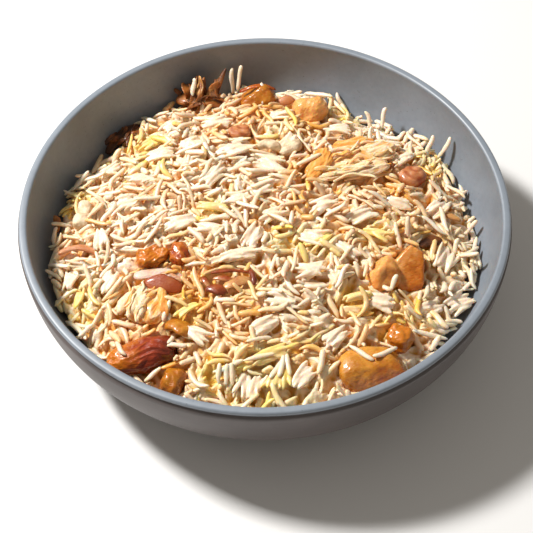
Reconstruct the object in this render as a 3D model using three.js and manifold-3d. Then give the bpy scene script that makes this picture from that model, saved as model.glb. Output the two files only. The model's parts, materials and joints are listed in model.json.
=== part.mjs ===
// A shallow stoneware bowl filled with biryani: a low heap of long-grain rice with chicken, shreds,
// fried onion and two nuts lying in its top. Millimetres, +Z up, the foot's base on z = 0.
// The bowl is seen from the side of -Y, with +X to the right.
import * as THREE from "three";
import { mergeVertices } from "three/addons/utils/BufferGeometryUtils.js";
import Module from "manifold-3d";

const wasm = await Module();
wasm.setup();

// Bowl: each wall is a squared-off quarter round from the mouth down to the floor
const BOWL_HEIGHT = 56;
const LIP_RADIUS = 110;
const LIP_HEIGHT = 2.6; // from the groove under the lip to its top
const LIP_ROUNDING = 0.6; // of its lower edge; its upper edge is three times as round
const GROOVE_DEPTH = 0.5;
const OUTER_WALL = { mouth: 110.6, floor: 52, depth: 53.5, power: 2.45 };
const INNER_WALL = { mouth: 106.4, floor: 48, depth: 49, power: 2.45 };
const INNER_TOP = BOWL_HEIGHT - 2 * LIP_ROUNDING; // where the inner wall meets the lip
const FOOT = { inside: 57, outside: 65 };
const FOOT_DRAFT = 0.6;
const BOWL_SEGMENTS = 48;
const WALL_STEPS = 7;

// Heap of rice
const GAP = 0.3; // between pieces that touch
const HEAP_TOP = 46;
const HEAP_POWER = 2.6; // how squarely the heap falls away to the wall
const HEAP_CELL = 6.6; // spacing of the points of its uneven top
const HEAP_FLOOR = 2; // how far the heap's column starts under the bowl's inner floor
const HEAP_SEED = 7;
const BUMP_HEIGHT = 2; // of the grain-sized bumps
const LUMP_HEIGHT = 1.15;
const LUMP_SPAN = 5.2;

// Rice grains
const GRAIN_LENGTH = { least: 8.5, most: 13 };
const GRAIN_WIDTH = 2.3;
const GRAIN_COUNT = 130;
const GRAIN_SPACING = 11.5; // between the feet of two grains
const GRAIN_TRIES = 4000;
const GRAIN_SEED = 20;
const GRAIN_SINKS = [0, 0.5, 1, 1.5, 2, 2.5]; // how far a foot may be pushed into the heap
const GRAIN_HELD = 0.12; // the share of a grain that the heap holds
const HEAP_REACH = 99;

// How high the rice meets the wall, by the angle round the bowl in degrees from +X
const WALL_LINE = [
  [-180, 31], [-120, 29], [-90, 29], [-40, 27], [-15, 26], [10, 28], [35, 29], [55, 23],
  [75, 28], [110, 30], [130, 29], [146, 25.5], [160, 28], [180, 31],
];

// Random numbers from 0 to 1, the same on every run
function randomFrom(seed) {
  let state = seed;
  return () => {
    state = (state + 0x6d2b79f5) | 0;
    let t = Math.imul(state ^ (state >>> 15), 1 | state);
    t = (t + Math.imul(t ^ (t >>> 7), 61 | t)) ^ t;
    return ((t ^ (t >>> 14)) >>> 0) / 4294967296;
  };
}

function degrees(angle) {
  return THREE.MathUtils.degToRad(angle);
}

// A closed geometry as a solid that can be cut and joined
function solidOf(geometry) {
  const bare = geometry.index ? geometry.toNonIndexed() : geometry.clone();
  bare.deleteAttribute("normal");
  bare.deleteAttribute("uv");
  const merged = mergeVertices(bare, 1e-4);
  const triVerts = new Uint32Array(merged.index.array);
  const vertProperties = merged.attributes.position.array;
  return new wasm.Manifold(new wasm.Mesh({ numProp: 3, vertProperties, triVerts }));
}

// The largest body of a solid, with loose scraps dropped and sealed hollows filled
function mainBody(solid) {
  return solid.decompose().reduce((best, body) => (body.volume() > best.volume() ? body : best));
}

function meshOf(solid, name, material) {
  const { vertProperties, triVerts } = solid.getMesh();
  const geometry = new THREE.BufferGeometry();
  geometry.setAttribute("position", new THREE.BufferAttribute(new Float32Array(vertProperties), 3));
  geometry.setIndex(new THREE.BufferAttribute(new Uint32Array(triVerts), 1));
  geometry.computeVertexNormals();
  const mesh = new THREE.Mesh(geometry, material);
  mesh.name = name;
  return mesh;
}

// A closed skin over rings of points, with a tip before the first ring and after the last
function loft(rings, firstTip, lastTip) {
  const sides = rings[0].length;
  const points = [...rings.flat(), firstTip, lastTip];
  const first = points.length - 2;
  const last = points.length - 1;
  const faces = [];
  for (let side = 0; side < sides; side += 1) {
    const next = (side + 1) % sides;
    faces.push(first, next, side);
    for (let ring = 0; ring < rings.length - 1; ring += 1) {
      const low = ring * sides;
      const high = low + sides;
      faces.push(low + side, low + next, high + next);
      faces.push(low + side, high + next, high + side);
    }
    const end = (rings.length - 1) * sides;
    faces.push(end + side, end + next, last);
  }
  const geometry = new THREE.BufferGeometry().setFromPoints(points);
  geometry.setIndex(faces);
  return geometry;
}

// Bowl
function wallRadius(wall, z) {
  const depth = THREE.MathUtils.clamp((BOWL_HEIGHT - z) / wall.depth, 0, 1);
  return wall.floor + (wall.mouth - wall.floor) * (1 - depth ** wall.power) ** (1 / wall.power);
}

// Points down a wall, closest together where it turns
function wallPoints(wall, topZ, inset) {
  const start = (BOWL_HEIGHT - topZ) / wall.depth;
  const startTurn = Math.asin(start ** (wall.power / 2));
  const points = [];
  for (let step = 0; step <= WALL_STEPS; step += 1) {
    const turn = THREE.MathUtils.lerp(startTurn, Math.PI / 2, step / WALL_STEPS);
    const across = Math.max(0, Math.cos(turn)) ** (2 / wall.power);
    const down = Math.sin(turn) ** (2 / wall.power);
    const radius = wall.floor + (wall.mouth - wall.floor) * across - inset;
    points.push(new THREE.Vector2(radius, BOWL_HEIGHT - wall.depth * down + inset));
  }
  return points;
}

function lathe(profile) {
  const geometry = new THREE.LatheGeometry(profile, BOWL_SEGMENTS);
  geometry.rotateX(Math.PI / 2);
  return solidOf(geometry);
}

function bowlSolid() {
  const grooveZ = BOWL_HEIGHT - LIP_HEIGHT;
  const underside = BOWL_HEIGHT - OUTER_WALL.depth;
  const outer = wallPoints(OUTER_WALL, grooveZ - GROOVE_DEPTH, 0).reverse();
  const footTop = outer.findIndex((point) => point.x > FOOT.outside);
  const profile = [
    new THREE.Vector2(0, underside),
    new THREE.Vector2(FOOT.inside, underside),
    new THREE.Vector2(FOOT.inside + FOOT_DRAFT, 0),
    new THREE.Vector2(FOOT.outside - FOOT_DRAFT, 0),
    new THREE.Vector2(FOOT.outside, underside + FOOT_DRAFT),
    ...outer.slice(footTop),
    new THREE.Vector2(LIP_RADIUS - GROOVE_DEPTH, grooveZ),
    new THREE.Vector2(LIP_RADIUS, grooveZ + LIP_ROUNDING),
    new THREE.Vector2(LIP_RADIUS, BOWL_HEIGHT - 2 * LIP_ROUNDING),
    new THREE.Vector2(LIP_RADIUS - 1.4 * LIP_ROUNDING, BOWL_HEIGHT - 0.4 * LIP_ROUNDING),
    new THREE.Vector2(LIP_RADIUS - 3 * LIP_ROUNDING, BOWL_HEIGHT),
    new THREE.Vector2(INNER_WALL.mouth + 1.4 * LIP_ROUNDING, BOWL_HEIGHT - 0.4 * LIP_ROUNDING),
    ...wallPoints(INNER_WALL, INNER_TOP, 0),
    new THREE.Vector2(0, BOWL_HEIGHT - INNER_WALL.depth),
  ];
  return lathe(profile);
}

// The space inside the bowl, a gap away from its inner wall
function insideSolid() {
  const wall = wallPoints(INNER_WALL, INNER_TOP, GAP).reverse();
  const profile = [
    new THREE.Vector2(0, wall[0].y),
    ...wall,
    new THREE.Vector2(0, wall[wall.length - 1].y),
  ];
  return lathe(profile);
}

// Heap of rice
function wallLine(angle) {
  const next = WALL_LINE.findIndex(([knot]) => knot >= angle);
  const [high, highZ] = WALL_LINE[Math.max(next, 1)];
  const [low, lowZ] = WALL_LINE[Math.max(next, 1) - 1];
  return THREE.MathUtils.lerp(lowZ, highZ, (angle - low) / (high - low));
}

// The heap's height without its lumps: flat in the middle, steeper towards the wall
function heapHeight(x, y) {
  const edge = wallLine(THREE.MathUtils.radToDeg(Math.atan2(y, x)));
  const reach = Math.min(1, Math.hypot(x, y) / wallRadius(INNER_WALL, edge));
  return edge + (HEAP_TOP - edge) * (1 - reach ** HEAP_POWER);
}

// Slow waves across the heap that give its lumps
function lump(x, y) {
  const broad = Math.sin(x / (2 * LUMP_SPAN) + 1.3) * Math.sin(y / (1.8 * LUMP_SPAN) + 0.4);
  const small = Math.sin(x / LUMP_SPAN - y / (1.4 * LUMP_SPAN) + 2) * Math.sin(y / LUMP_SPAN + x / 31);
  return LUMP_HEIGHT * (broad + 0.6 * small);
}

function riceHeight(x, y) {
  return heapHeight(x, y) + lump(x, y);
}

// A column of rice over the whole bowl, with an uneven top, raised by a given amount
function heapColumn(rise) {
  const random = randomFrom(HEAP_SEED);
  const half = LIP_RADIUS + HEAP_CELL;
  const count = Math.ceil((2 * half) / HEAP_CELL);
  const slab = new THREE.BoxGeometry(2 * half, 2 * half, 1, count, count, 1);
  const place = slab.attributes.position;
  const seen = new Map();
  for (let i = 0; i < place.count; i += 1) {
    const x = place.getX(i);
    const y = place.getY(i);
    if (place.getZ(i) < 0) {
      place.setZ(i, BOWL_HEIGHT - INNER_WALL.depth - HEAP_FLOOR);
      continue;
    }
    const key = `${Math.round(x * 10)},${Math.round(y * 10)}`;
    if (!seen.has(key)) {
      seen.set(key, [random() - 0.5, random() - 0.5, random() - 0.5]);
    }
    const [dx, dy, dz] = seen.get(key);
    const onEdge = Math.max(Math.abs(x), Math.abs(y)) > half - 0.1;
    const shift = onEdge ? 0 : 0.5 * HEAP_CELL;
    place.setX(i, x + dx * shift);
    place.setY(i, y + dy * shift);
    place.setZ(i, riceHeight(x, y) + BUMP_HEIGHT * dz + rise);
  }
  return solidOf(slab);
}

// Rice grains: four-sided, bent a little, tapering to both ends
const GRAIN_RINGS = [
  { along: -0.27, girth: 0.9 },
  { along: 0.2, girth: 1 },
];

// A grain runs from its foot at x, y, z
function grainSolid({ length, width, bend, x, y, z, heading, pitch, roll, grow = 0 }) {
  const sides = 4;
  const rings = GRAIN_RINGS.map(({ along, girth }) => {
    const sag = -4 * bend * along * along;
    return Array.from({ length: sides }, (_, side) => {
      const turn = (side + 0.5) * ((2 * Math.PI) / sides);
      const reach = (girth * width) / 2 + grow;
      return new THREE.Vector3(length * along, reach * 1.2 * Math.cos(turn), reach * Math.sin(turn) + sag);
    });
  });
  const tip = length / 2 + grow;
  const body = loft(rings, new THREE.Vector3(-tip, 0, -bend), new THREE.Vector3(tip, 0, -bend));
  body.rotateX(degrees(roll));
  body.translate(length / 2, 0, 0);
  body.rotateY(degrees(-pitch));
  body.rotateZ(degrees(heading));
  body.translate(x, y, z);
  return solidOf(body);
}

// Single grains that stand out from the heap: the foot, the turn from +X, the rise and the length
const LONE_GRAINS = [
  { x: -15.5, y: 95, heading: 93, pitch: 58, length: 13.5 },
  { x: -11.5, y: 95.5, heading: 74, pitch: 58, length: 13.5 },
  { x: 84, y: 46, heading: 42, pitch: 48, length: 12 },
  { x: 79, y: 49, heading: 66, pitch: 52, length: 11 },
  { x: 58, y: 68, heading: 72, pitch: 48, length: 11 },
  { x: 54, y: 68, heading: 118, pitch: 38, length: 10 },
  { x: 92, y: 2, heading: 34, pitch: 45, length: 11 },
  { x: 88, y: -14, heading: -18, pitch: 30, length: 10 },
  { x: -77, y: 55, heading: 122, pitch: 55, length: 10 },
  { x: 65, y: -9, heading: 95, pitch: 50, length: 10 },
  { x: -43, y: -58, heading: 82, pitch: 40, length: 11 },
  { x: -30, y: 24, heading: 60, pitch: 16, length: 13 },
  { x: 1, y: 0, heading: -35, pitch: 14, length: 13 },
  { x: 26, y: 0, heading: 15, pitch: 18, length: 12 },
  { x: -55, y: 17, heading: 150, pitch: 16, length: 13 },
  { x: -9, y: -68, heading: 25, pitch: 16, length: 13 },
];

function scatteredGrains(random) {
  const spots = [];
  const grains = [];
  for (let tries = 0; tries < GRAIN_TRIES && grains.length < GRAIN_COUNT; tries += 1) {
    const radius = HEAP_REACH * Math.sqrt(random());
    const angle = 2 * Math.PI * random();
    const x = radius * Math.cos(angle);
    const y = radius * Math.sin(angle);
    if (spots.some((spot) => Math.hypot(spot.x - x, spot.y - y) < GRAIN_SPACING)) {
      continue;
    }
    spots.push({ x, y });
    const heading = 360 * random();
    const length = THREE.MathUtils.lerp(GRAIN_LENGTH.least, GRAIN_LENGTH.most, random());
    const endX = x + length * Math.cos(degrees(heading));
    const endY = y + length * Math.sin(degrees(heading));
    const slope = Math.atan2(riceHeight(endX, endY) - riceHeight(x, y), length);
    grains.push({
      x,
      y,
      heading,
      length,
      pitch: THREE.MathUtils.radToDeg(slope) + 10 * random(),
      roll: 360 * random(),
      width: GRAIN_WIDTH * (0.9 + 0.25 * random()),
      bend: 0.9 * random(),
    });
  }
  return grains.sort((a, b) => b.length - a.length);
}

// Lowers a grain by its foot until the heap holds it
function settled(grain, heap) {
  for (const sink of GRAIN_SINKS) {
    const z = riceHeight(grain.x, grain.y) - sink;
    const placed = { width: GRAIN_WIDTH, bend: 0.5, roll: 0, ...grain, z };
    const solid = grainSolid(placed);
    if (heap.intersect(solid).volume() > GRAIN_HELD * solid.volume()) {
      return { solid, grown: grainSolid({ ...placed, grow: GAP }) };
    }
  }
  return null;
}

// Joins the grains to the core, largest first, where they stay clear of the other pieces
function withGrains(core, others, inside) {
  let heap = core;
  for (const grain of [...LONE_GRAINS, ...scatteredGrains(randomFrom(GRAIN_SEED))]) {
    const laid = settled(grain, core);
    if (!laid || !laid.grown.subtract(inside).isEmpty()) {
      continue;
    }
    if (others.every((other) => other.intersect(laid.grown).isEmpty())) {
      heap = heap.add(laid.solid);
    }
  }
  return mainBody(heap);
}

// Chunks: a rounded block, with flat cuts across it and a bumpy skin, laid into the heap
function chunkSolid(chunk, grow = 0) {
  const { x, y, lift, heading = 0, tilt = 0, size, cuts = [] } = chunk;
  const { power = 3, rough = 0.05, detail = 2, phase = 0 } = chunk;
  const ball = new THREE.IcosahedronGeometry(1, detail);
  const place = ball.attributes.position;
  const way = new THREE.Vector3();
  for (let i = 0; i < place.count; i += 1) {
    way.fromBufferAttribute(place, i).normalize();
    let sum = 0;
    ["x", "y", "z"].forEach((axis, n) => {
      sum += Math.abs(way[axis] / size[n]) ** power;
    });
    const broad = Math.sin(4.1 * way.x + phase) * Math.sin(3.7 * way.y + 2 * phase);
    const wave = broad + Math.sin(5.3 * way.z + 3 * phase) / 2;
    const radius = sum ** (-1 / power) * (1 + rough * wave) + grow;
    way.multiplyScalar(radius);
    place.setXYZ(i, way.x, way.y, way.z);
  }
  let solid = solidOf(ball);
  for (const [cutX, cutY, cutZ, reach] of cuts) {
    const long = Math.hypot(cutX, cutY, cutZ);
    solid = solid.trimByPlane([-cutX / long, -cutY / long, -cutZ / long], -reach - grow);
  }
  return solid.rotate([0, tilt, heading]).translate([x, y, heapHeight(x, y) + lift]);
}

// Strips: flat bands along a smooth curve that rises from the heap and falls back
const STRIP_SIDES = 6;
const STRIP_RINGS = 5;

function stripSolid(strip, grow = 0) {
  const { x, y, lift, heading = 0, length, width, thick, arch = 0, curl = 0, pitch = 0, roll = 0 } = strip;
  const rings = [];
  for (let ring = 0; ring < STRIP_RINGS; ring += 1) {
    const along = ring / (STRIP_RINGS - 1) - 0.5;
    const turn = degrees(curl) * along;
    const bow = curl ? length / degrees(curl) : 0;
    const centre = curl
      ? new THREE.Vector3(bow * Math.sin(turn), bow * (1 - Math.cos(turn)), 0)
      : new THREE.Vector3(length * along, 0, 0);
    centre.z = arch * (1 - 4 * along * along);
    const taper = 1 - 0.45 * (2 * along) ** 4;
    rings.push(
      Array.from({ length: STRIP_SIDES }, (_, side) => {
        const angle = (2 * Math.PI * side) / STRIP_SIDES;
        const across = ((taper * width) / 2 + grow) * Math.cos(angle);
        const up = (thick / 2 + grow) * Math.sin(angle);
        return new THREE.Vector3(-across * Math.sin(turn), across * Math.cos(turn), up).add(centre);
      }),
    );
  }
  const ends = [rings[0], rings[STRIP_RINGS - 1]].map((ring, n) => {
    const middle = ring.reduce((sum, point) => sum.add(point), new THREE.Vector3());
    middle.divideScalar(STRIP_SIDES);
    const turn = degrees(curl) * (n - 0.5);
    const out = (n ? 1 : -1) * (0.35 * thick + grow);
    return middle.add(new THREE.Vector3(Math.cos(turn), Math.sin(turn), 0).multiplyScalar(out));
  });
  const band = loft(rings, ends[0], ends[1]);
  const lean = new THREE.Euler(degrees(roll), degrees(-pitch), degrees(heading), "ZYX");
  band.applyMatrix4(new THREE.Matrix4().makeRotationFromEuler(lean));
  band.translate(x, y, heapHeight(x, y) + lift);
  return solidOf(band);
}

// One torn or lumpy piece: its lobes and strips, joined where they cross
function joinedSolid({ lobes = [], strips = [] }, grow = 0) {
  const solids = [
    ...lobes.map((lobe) => chunkSolid(lobe, grow)),
    ...strips.map((strip) => stripSolid(strip, grow)),
  ];
  return mainBody(solids.reduce((sum, solid) => sum.add(solid)));
}

// Materials
function matte(colour, roughness) {
  return new THREE.MeshStandardMaterial({ color: colour, roughness, metalness: 0 });
}
const STONEWARE = matte("#6f7076", 0.5);
const RICE = matte("#f2e2bd", 0.6);
const CHICKEN = matte("#c8752f", 0.4);
const CHICKEN_DARK = matte("#6e2a16", 0.3);
const CHICKEN_SHREDS = matte("#dc9c56", 0.5);
const ONION = matte("#7c4322", 0.4);
const ONION_PALE = matte("#c9a182", 0.4);
const NUT = matte("#d9c29a", 0.5);

// Toppings: x and y of the middle, how far it is lifted off the heap, and its half sizes
const TOPPINGS = [
  {
    name: "chicken_right",
    material: CHICKEN,
    make: joinedSolid,
    lobes: [
      {
        x: 51.2, y: -29.2, lift: 0.9,
        size: [7.8, 8, 6.6], heading: 8, rough: 0.05, phase: 0.4,
        cuts: [[0.1, -0.8, 0.6, 5.9], [-0.62, 0.52, 0.58, 4], [-0.7, -0.45, 0.5, 5.8]],
      },
      {
        x: 63.8, y: -24.8, lift: 1.3,
        size: [6.6, 10.6, 11], power: 5, rough: 0.01, phase: 1.2,
        cuts: [[0, -0.6, 0.8, 5.8], [-0.72, 0.556, 0.417, 6.65], [0.55, 0.668, 0.501, 9.2]],
      },
    ],
  },
  {
    name: "chicken_front",
    material: CHICKEN,
    make: chunkSolid,
    x: 45.6, y: -75.6, lift: 1.5, heading: 6, size: [14.6, 9.6, 7.2], power: 3.4, rough: 0.04, phase: 2.1,
    cuts: [[-0.05, -0.72, 0.7, 7.2], [0.75, 0.3, 0.6, 10.5]],
  },
  {
    name: "chicken_front_small",
    material: CHICKEN,
    make: chunkSolid,
    x: 57.7, y: -59.6, lift: 0.8, heading: -30, size: [5.6, 5, 4.6], rough: 0.08, phase: 3.3, detail: 1,
  },
  {
    name: "chicken_dark",
    material: CHICKEN_DARK,
    make: chunkSolid,
    x: -52.8, y: -67.6, lift: 1.2, heading: 15, tilt: -3,
    size: [16.6, 7.2, 6.4], power: 2.2, rough: 0.04, phase: 4,
    cuts: [[0.85, -0.2, 0.4, 12.6]],
  },
  {
    name: "chicken_front_left",
    material: CHICKEN,
    make: chunkSolid,
    x: -39.8, y: -80.4, lift: 1.4, heading: 70, size: [6.4, 4.8, 5], rough: 0.07, phase: 5.1, detail: 1,
  },
  {
    name: "chicken_sliver",
    material: CHICKEN,
    make: stripSolid,
    x: -37.5, y: -57.2, lift: 1, heading: -28, length: 12, width: 8.5, thick: 3.6, arch: 1.6, roll: -18,
  },
  {
    name: "chicken_back",
    material: CHICKEN,
    make: chunkSolid,
    x: -2.4, y: 86, lift: 2.5, heading: 4,
    size: [9.4, 6.4, 7.4], power: 2.7, rough: 0.04, phase: 0.9,
    cuts: [[-0.2, -0.7, 0.7, 5.6], [-0.6, 0.3, 0.74, 5.2], [0.75, 0.3, 0.5, 8]],
  },
  {
    name: "chicken_back_right",
    material: CHICKEN,
    make: chunkSolid,
    x: 23.2, y: 77, lift: 2.2, heading: 30, size: [8, 7.2, 6.8], rough: 0.05, phase: 2.7, detail: 1,
    cuts: [[-0.5, -0.6, 0.6, 6.2], [0.3, 0.75, 0.6, 5.6]],
  },
  {
    name: "onion_round_back",
    material: ONION_PALE,
    make: chunkSolid,
    x: -11.5, y: 57, lift: 0.3, heading: 8, size: [5.2, 3.9, 3.3], rough: 0.05, phase: 1.8, detail: 1,
  },
  {
    name: "chicken_left_large",
    material: CHICKEN,
    make: chunkSolid,
    x: -50.5, y: -19.5, lift: 0.4, heading: 6, size: [7.2, 3.9, 3.6], rough: 0.08, phase: 3.9, detail: 1,
  },
  {
    name: "chicken_left_small",
    material: CHICKEN,
    make: chunkSolid,
    x: -38.8, y: -18.8, lift: 0.3, heading: 80, size: [5.2, 4.1, 3.6], rough: 0.08, phase: 4.6, detail: 1,
  },
  {
    name: "chicken_shreds_left",
    material: CHICKEN_SHREDS,
    make: joinedSolid,
    lobes: [{ x: -50.5, y: -44, lift: -0.4, heading: -120, size: [9.6, 8, 3.6], power: 2.4, detail: 1 }],
    strips: [0, 1, 2, 3].map((n) => ({
      x: -58.5 + 5 * n, y: -43.5 + 1.2 * n, lift: 1.6 + 0.6 * (n % 2), heading: -124 + 8 * n,
      length: 17 + 2 * (n % 3), width: 5, thick: 3, arch: 1.6, curl: 12,
    })),
  },
  {
    name: "chicken_shreds_right",
    material: CHICKEN_SHREDS,
    make: joinedSolid,
    lobes: [
      {
        x: 40, y: 36.5, lift: -0.6, heading: 6,
        size: [19, 10.5, 4.2], power: 2.3, rough: 0.07, phase: 1.5, detail: 1,
      },
    ],
    strips: [
      { x: 28, y: 40, lift: 1.8, heading: 38, length: 24, width: 6, thick: 3, arch: 1.6, curl: 20 },
      { x: 38, y: 36, lift: 2.6, heading: 16, length: 25, width: 5.4, thick: 3, arch: 1.8, curl: -25 },
      { x: 47, y: 41, lift: 2.2, heading: -22, length: 23, width: 5.8, thick: 3, arch: 1.6, curl: 20 },
      { x: 51, y: 32, lift: 1.6, heading: -52, length: 17, width: 5, thick: 3, arch: 1.4, curl: -20 },
    ],
  },
  {
    name: "onion_round",
    material: ONION_PALE,
    make: chunkSolid,
    x: 70, y: 30.5, lift: 0.9, heading: 20,
    size: [6.6, 5.4, 4.4], power: 2.5, rough: 0.04, phase: 2.2, detail: 1,
  },
  {
    name: "onion_slice_left",
    material: ONION_PALE,
    make: stripSolid,
    x: -46.5, y: -31, lift: 1.1, heading: -4,
    length: 20, width: 7, thick: 2.6, arch: 1.2, curl: -18, roll: 14,
  },
  {
    name: "fried_onion_centre",
    material: ONION,
    make: joinedSolid,
    strips: [
      { x: -21, y: -40.5, lift: 0.5, heading: 62, length: 13, width: 6, thick: 3.2, arch: 1.2, curl: 50 },
      {
        x: -27, y: -39.5, lift: 0.7, heading: -68,
        length: 14, width: 4.8, thick: 2.8, arch: 1.2, curl: 25,
      },
      { x: -18, y: -32.5, lift: 0.6, heading: 4, length: 16, width: 3.4, thick: 2.6, arch: 1, curl: -20 },
    ],
  },
  {
    name: "fried_onion_back",
    material: ONION,
    make: joinedSolid,
    lobes: [
      {
        x: -31, y: 88, lift: 0.6, heading: -8,
        size: [11, 6, 4.6], power: 2.3, rough: 0.08, phase: 0.3, detail: 1,
      },
    ],
    strips: [
      {
        x: -40, y: 88.5, lift: 3.8, heading: 112,
        length: 18, width: 6.4, thick: 2.6, arch: 1, curl: 25, pitch: 34,
      },
      {
        x: -33.5, y: 90.5, lift: 5.4, heading: 96,
        length: 19, width: 6, thick: 2.6, arch: 1, curl: -30, pitch: 42,
      },
      {
        x: -27.5, y: 90, lift: 4.6, heading: 128,
        length: 18, width: 5, thick: 2.6, arch: 1, curl: 20, pitch: 30,
      },
      {
        x: -23, y: 92, lift: 6.6, heading: 64,
        length: 20, width: 4.6, thick: 2.6, arch: 1, curl: -18, pitch: 46,
      },
    ],
  },
  {
    name: "fried_onion_left",
    material: ONION,
    make: stripSolid,
    x: -70, y: 66, lift: 1.8, heading: 50,
    length: 22, width: 7.6, thick: 3.4, arch: 1.2, curl: -20, pitch: 6, roll: -20,
  },
  {
    name: "fried_onion_right",
    material: ONION,
    make: stripSolid,
    x: 75, y: -7.5, lift: -0.4, heading: 12, length: 11, width: 6.4, thick: 3, arch: 0.6,
  },
  {
    name: "onion_curl",
    material: ONION,
    make: stripSolid,
    x: -96.5, y: 9, lift: 1.9, heading: 98,
    length: 9, width: 3.4, thick: 2.4, arch: 0.8, curl: 60, pitch: 10,
  },
  {
    name: "onion_strand_left",
    material: ONION_PALE,
    make: stripSolid,
    x: -84.5, y: -9.5, lift: 1.4, heading: -2, length: 19, width: 3.4, thick: 2.6, arch: 1, curl: -75,
  },
  {
    name: "onion_strand_right",
    material: ONION,
    make: stripSolid,
    x: 84, y: 8.5, lift: 1.5, heading: -14, length: 14, width: 3, thick: 2.6, arch: 1, curl: -35,
  },
  {
    name: "onion_back",
    material: ONION_PALE,
    make: stripSolid,
    x: 10.5, y: 84, lift: 2.2, heading: 8,
    length: 10, width: 4.6, thick: 2.6, arch: 0.8, curl: -40, pitch: 10, roll: 30,
  },
  {
    name: "bone_end",
    material: NUT,
    make: joinedSolid,
    lobes: [
      { x: -84.6, y: 7.5, lift: 1.3, size: [4, 3.8, 3.2], rough: 0.08, phase: 0.7, detail: 1 },
      { x: -83.8, y: 15, lift: 1, size: [3.4, 5, 3], rough: 0.06, phase: 2.9, detail: 1 },
    ],
  },
  {
    name: "nut_left",
    material: NUT,
    make: stripSolid,
    x: 2.7, y: 46.2, lift: 1.6, heading: -8,
    length: 10, width: 5.4, thick: 4.6, arch: 0.8, curl: -75, roll: -12,
  },
  {
    name: "nut_right",
    material: NUT,
    make: stripSolid,
    x: 13.6, y: 44.2, lift: 1.6, heading: 42,
    length: 11, width: 5.6, thick: 4.6, arch: 0.8, curl: 55, roll: 14,
  },
];

// Each topping is fitted to the bare heap and to those laid before it, then the grains go round them all
function build() {
  const dish = new THREE.Group();
  dish.name = "dish";
  const food = new THREE.Group();
  food.name = "food";
  const inside = insideSolid();
  const core = mainBody(heapColumn(0).intersect(inside));
  const bed = heapColumn(GAP);
  const claimed = [];
  for (const topping of TOPPINGS) {
    let solid = topping.make(topping).intersect(inside).subtract(bed);
    for (const earlier of claimed) {
      solid = solid.subtract(earlier);
    }
    claimed.push(topping.make(topping, GAP));
    food.add(meshOf(mainBody(solid), topping.name, topping.material));
  }
  food.add(meshOf(withGrains(core, claimed, inside), "rice", RICE));
  dish.add(meshOf(bowlSolid(), "bowl", STONEWARE));
  const biryani = new THREE.Group();
  biryani.name = "biryani";
  biryani.add(dish, food);
  return biryani;
}

export default build();
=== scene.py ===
"""A shallow stoneware bowl filled with biryani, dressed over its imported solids.

Long-grain rice is laid grain by grain over a sunken core, round pieces of chicken, torn shreds, fried and
soft onion, two nuts and a bone end. Shapes are worked out in millimetres and stored in metres, with +Z up,
the foot on z = 0 and the bowl seen from the side of -Y.
"""

import json
import math

import bmesh
import bpy
import numpy as np
from bpy.props import FloatProperty, FloatVectorProperty, IntProperty, PointerProperty
from bpy.types import Operator, Panel, PropertyGroup
from mathutils import Matrix, Vector, noise
from mathutils.bvhtree import BVHTree

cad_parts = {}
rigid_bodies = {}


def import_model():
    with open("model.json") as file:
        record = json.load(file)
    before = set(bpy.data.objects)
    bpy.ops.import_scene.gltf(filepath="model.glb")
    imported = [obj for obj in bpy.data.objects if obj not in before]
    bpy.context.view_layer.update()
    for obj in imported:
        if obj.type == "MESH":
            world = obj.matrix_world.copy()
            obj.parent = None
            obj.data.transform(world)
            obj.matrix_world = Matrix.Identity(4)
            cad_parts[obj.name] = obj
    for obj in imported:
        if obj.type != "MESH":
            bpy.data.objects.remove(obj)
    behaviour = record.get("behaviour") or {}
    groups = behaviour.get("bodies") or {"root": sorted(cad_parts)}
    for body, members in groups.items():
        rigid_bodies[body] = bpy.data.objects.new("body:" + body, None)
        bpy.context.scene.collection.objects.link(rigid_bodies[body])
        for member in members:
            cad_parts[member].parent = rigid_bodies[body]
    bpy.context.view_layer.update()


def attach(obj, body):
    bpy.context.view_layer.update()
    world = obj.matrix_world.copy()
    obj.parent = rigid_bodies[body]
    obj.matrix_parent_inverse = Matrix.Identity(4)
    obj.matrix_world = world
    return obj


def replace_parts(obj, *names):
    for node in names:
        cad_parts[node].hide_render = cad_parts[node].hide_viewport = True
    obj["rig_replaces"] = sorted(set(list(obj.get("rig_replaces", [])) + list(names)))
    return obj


bl_info = {
    "name": "Bowl of Biryani",
    "version": (1, 0, 0),
    "blender": (4, 5, 0),
    "location": "View3D > Sidebar > Biryani",
    "description": "Dresses a shallow stoneware bowl of long-grain rice, chicken, onion and nuts",
    "category": "Add Mesh",
}

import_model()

MM = 0.001

# Bowl, in millimetres: each wall is a squared-off quarter round from the mouth down to the floor
BOWL_HEIGHT = 56
LIP_RADIUS = 110
GROOVE_DEPTH = 2.9
OUTER_WALL = {"mouth": 110.6, "floor": 52, "depth": 53.5, "power": 2.45}
INNER_WALL = {"mouth": 106.4, "floor": 48, "depth": 49, "power": 2.45}
FOOT = {"inside": 57, "outside": 65, "round": 0.7}
FOOT_INSET = 1.1  # from the side of the foot to the centre of its rounding
LIP_ROUND = 1.25
LIP_INNER_ROUND = 1.4
WALL_GAP = 0.3

# Heap of rice: how high it meets the wall, by the angle round the bowl in degrees from +X
WALL_LINE = [
    (-180, 31), (-120, 29), (-90, 29), (-40, 27), (-15, 26), (10, 28), (35, 29), (55, 23), (75, 28),
    (110, 30), (130, 29), (146, 25.5), (160, 28), (180, 31),
]
HEAP_TOP = 46
HEAP_POWER = 2.6
LUMP_HEIGHT = 1.15
LUMP_SPAN = 5.2

# Packed rice: a fine skin over the heap, then rings down the wall, each at a share of the wall's height
CORE_SEGMENTS = 720
CORE_RINGS = 122
CORE_REACH = 104  # where the height of its edge is read
CORE_WALL_RINGS = (0.8, 0.55, 0.35, 0.2, 0.08, 0.01)

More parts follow.
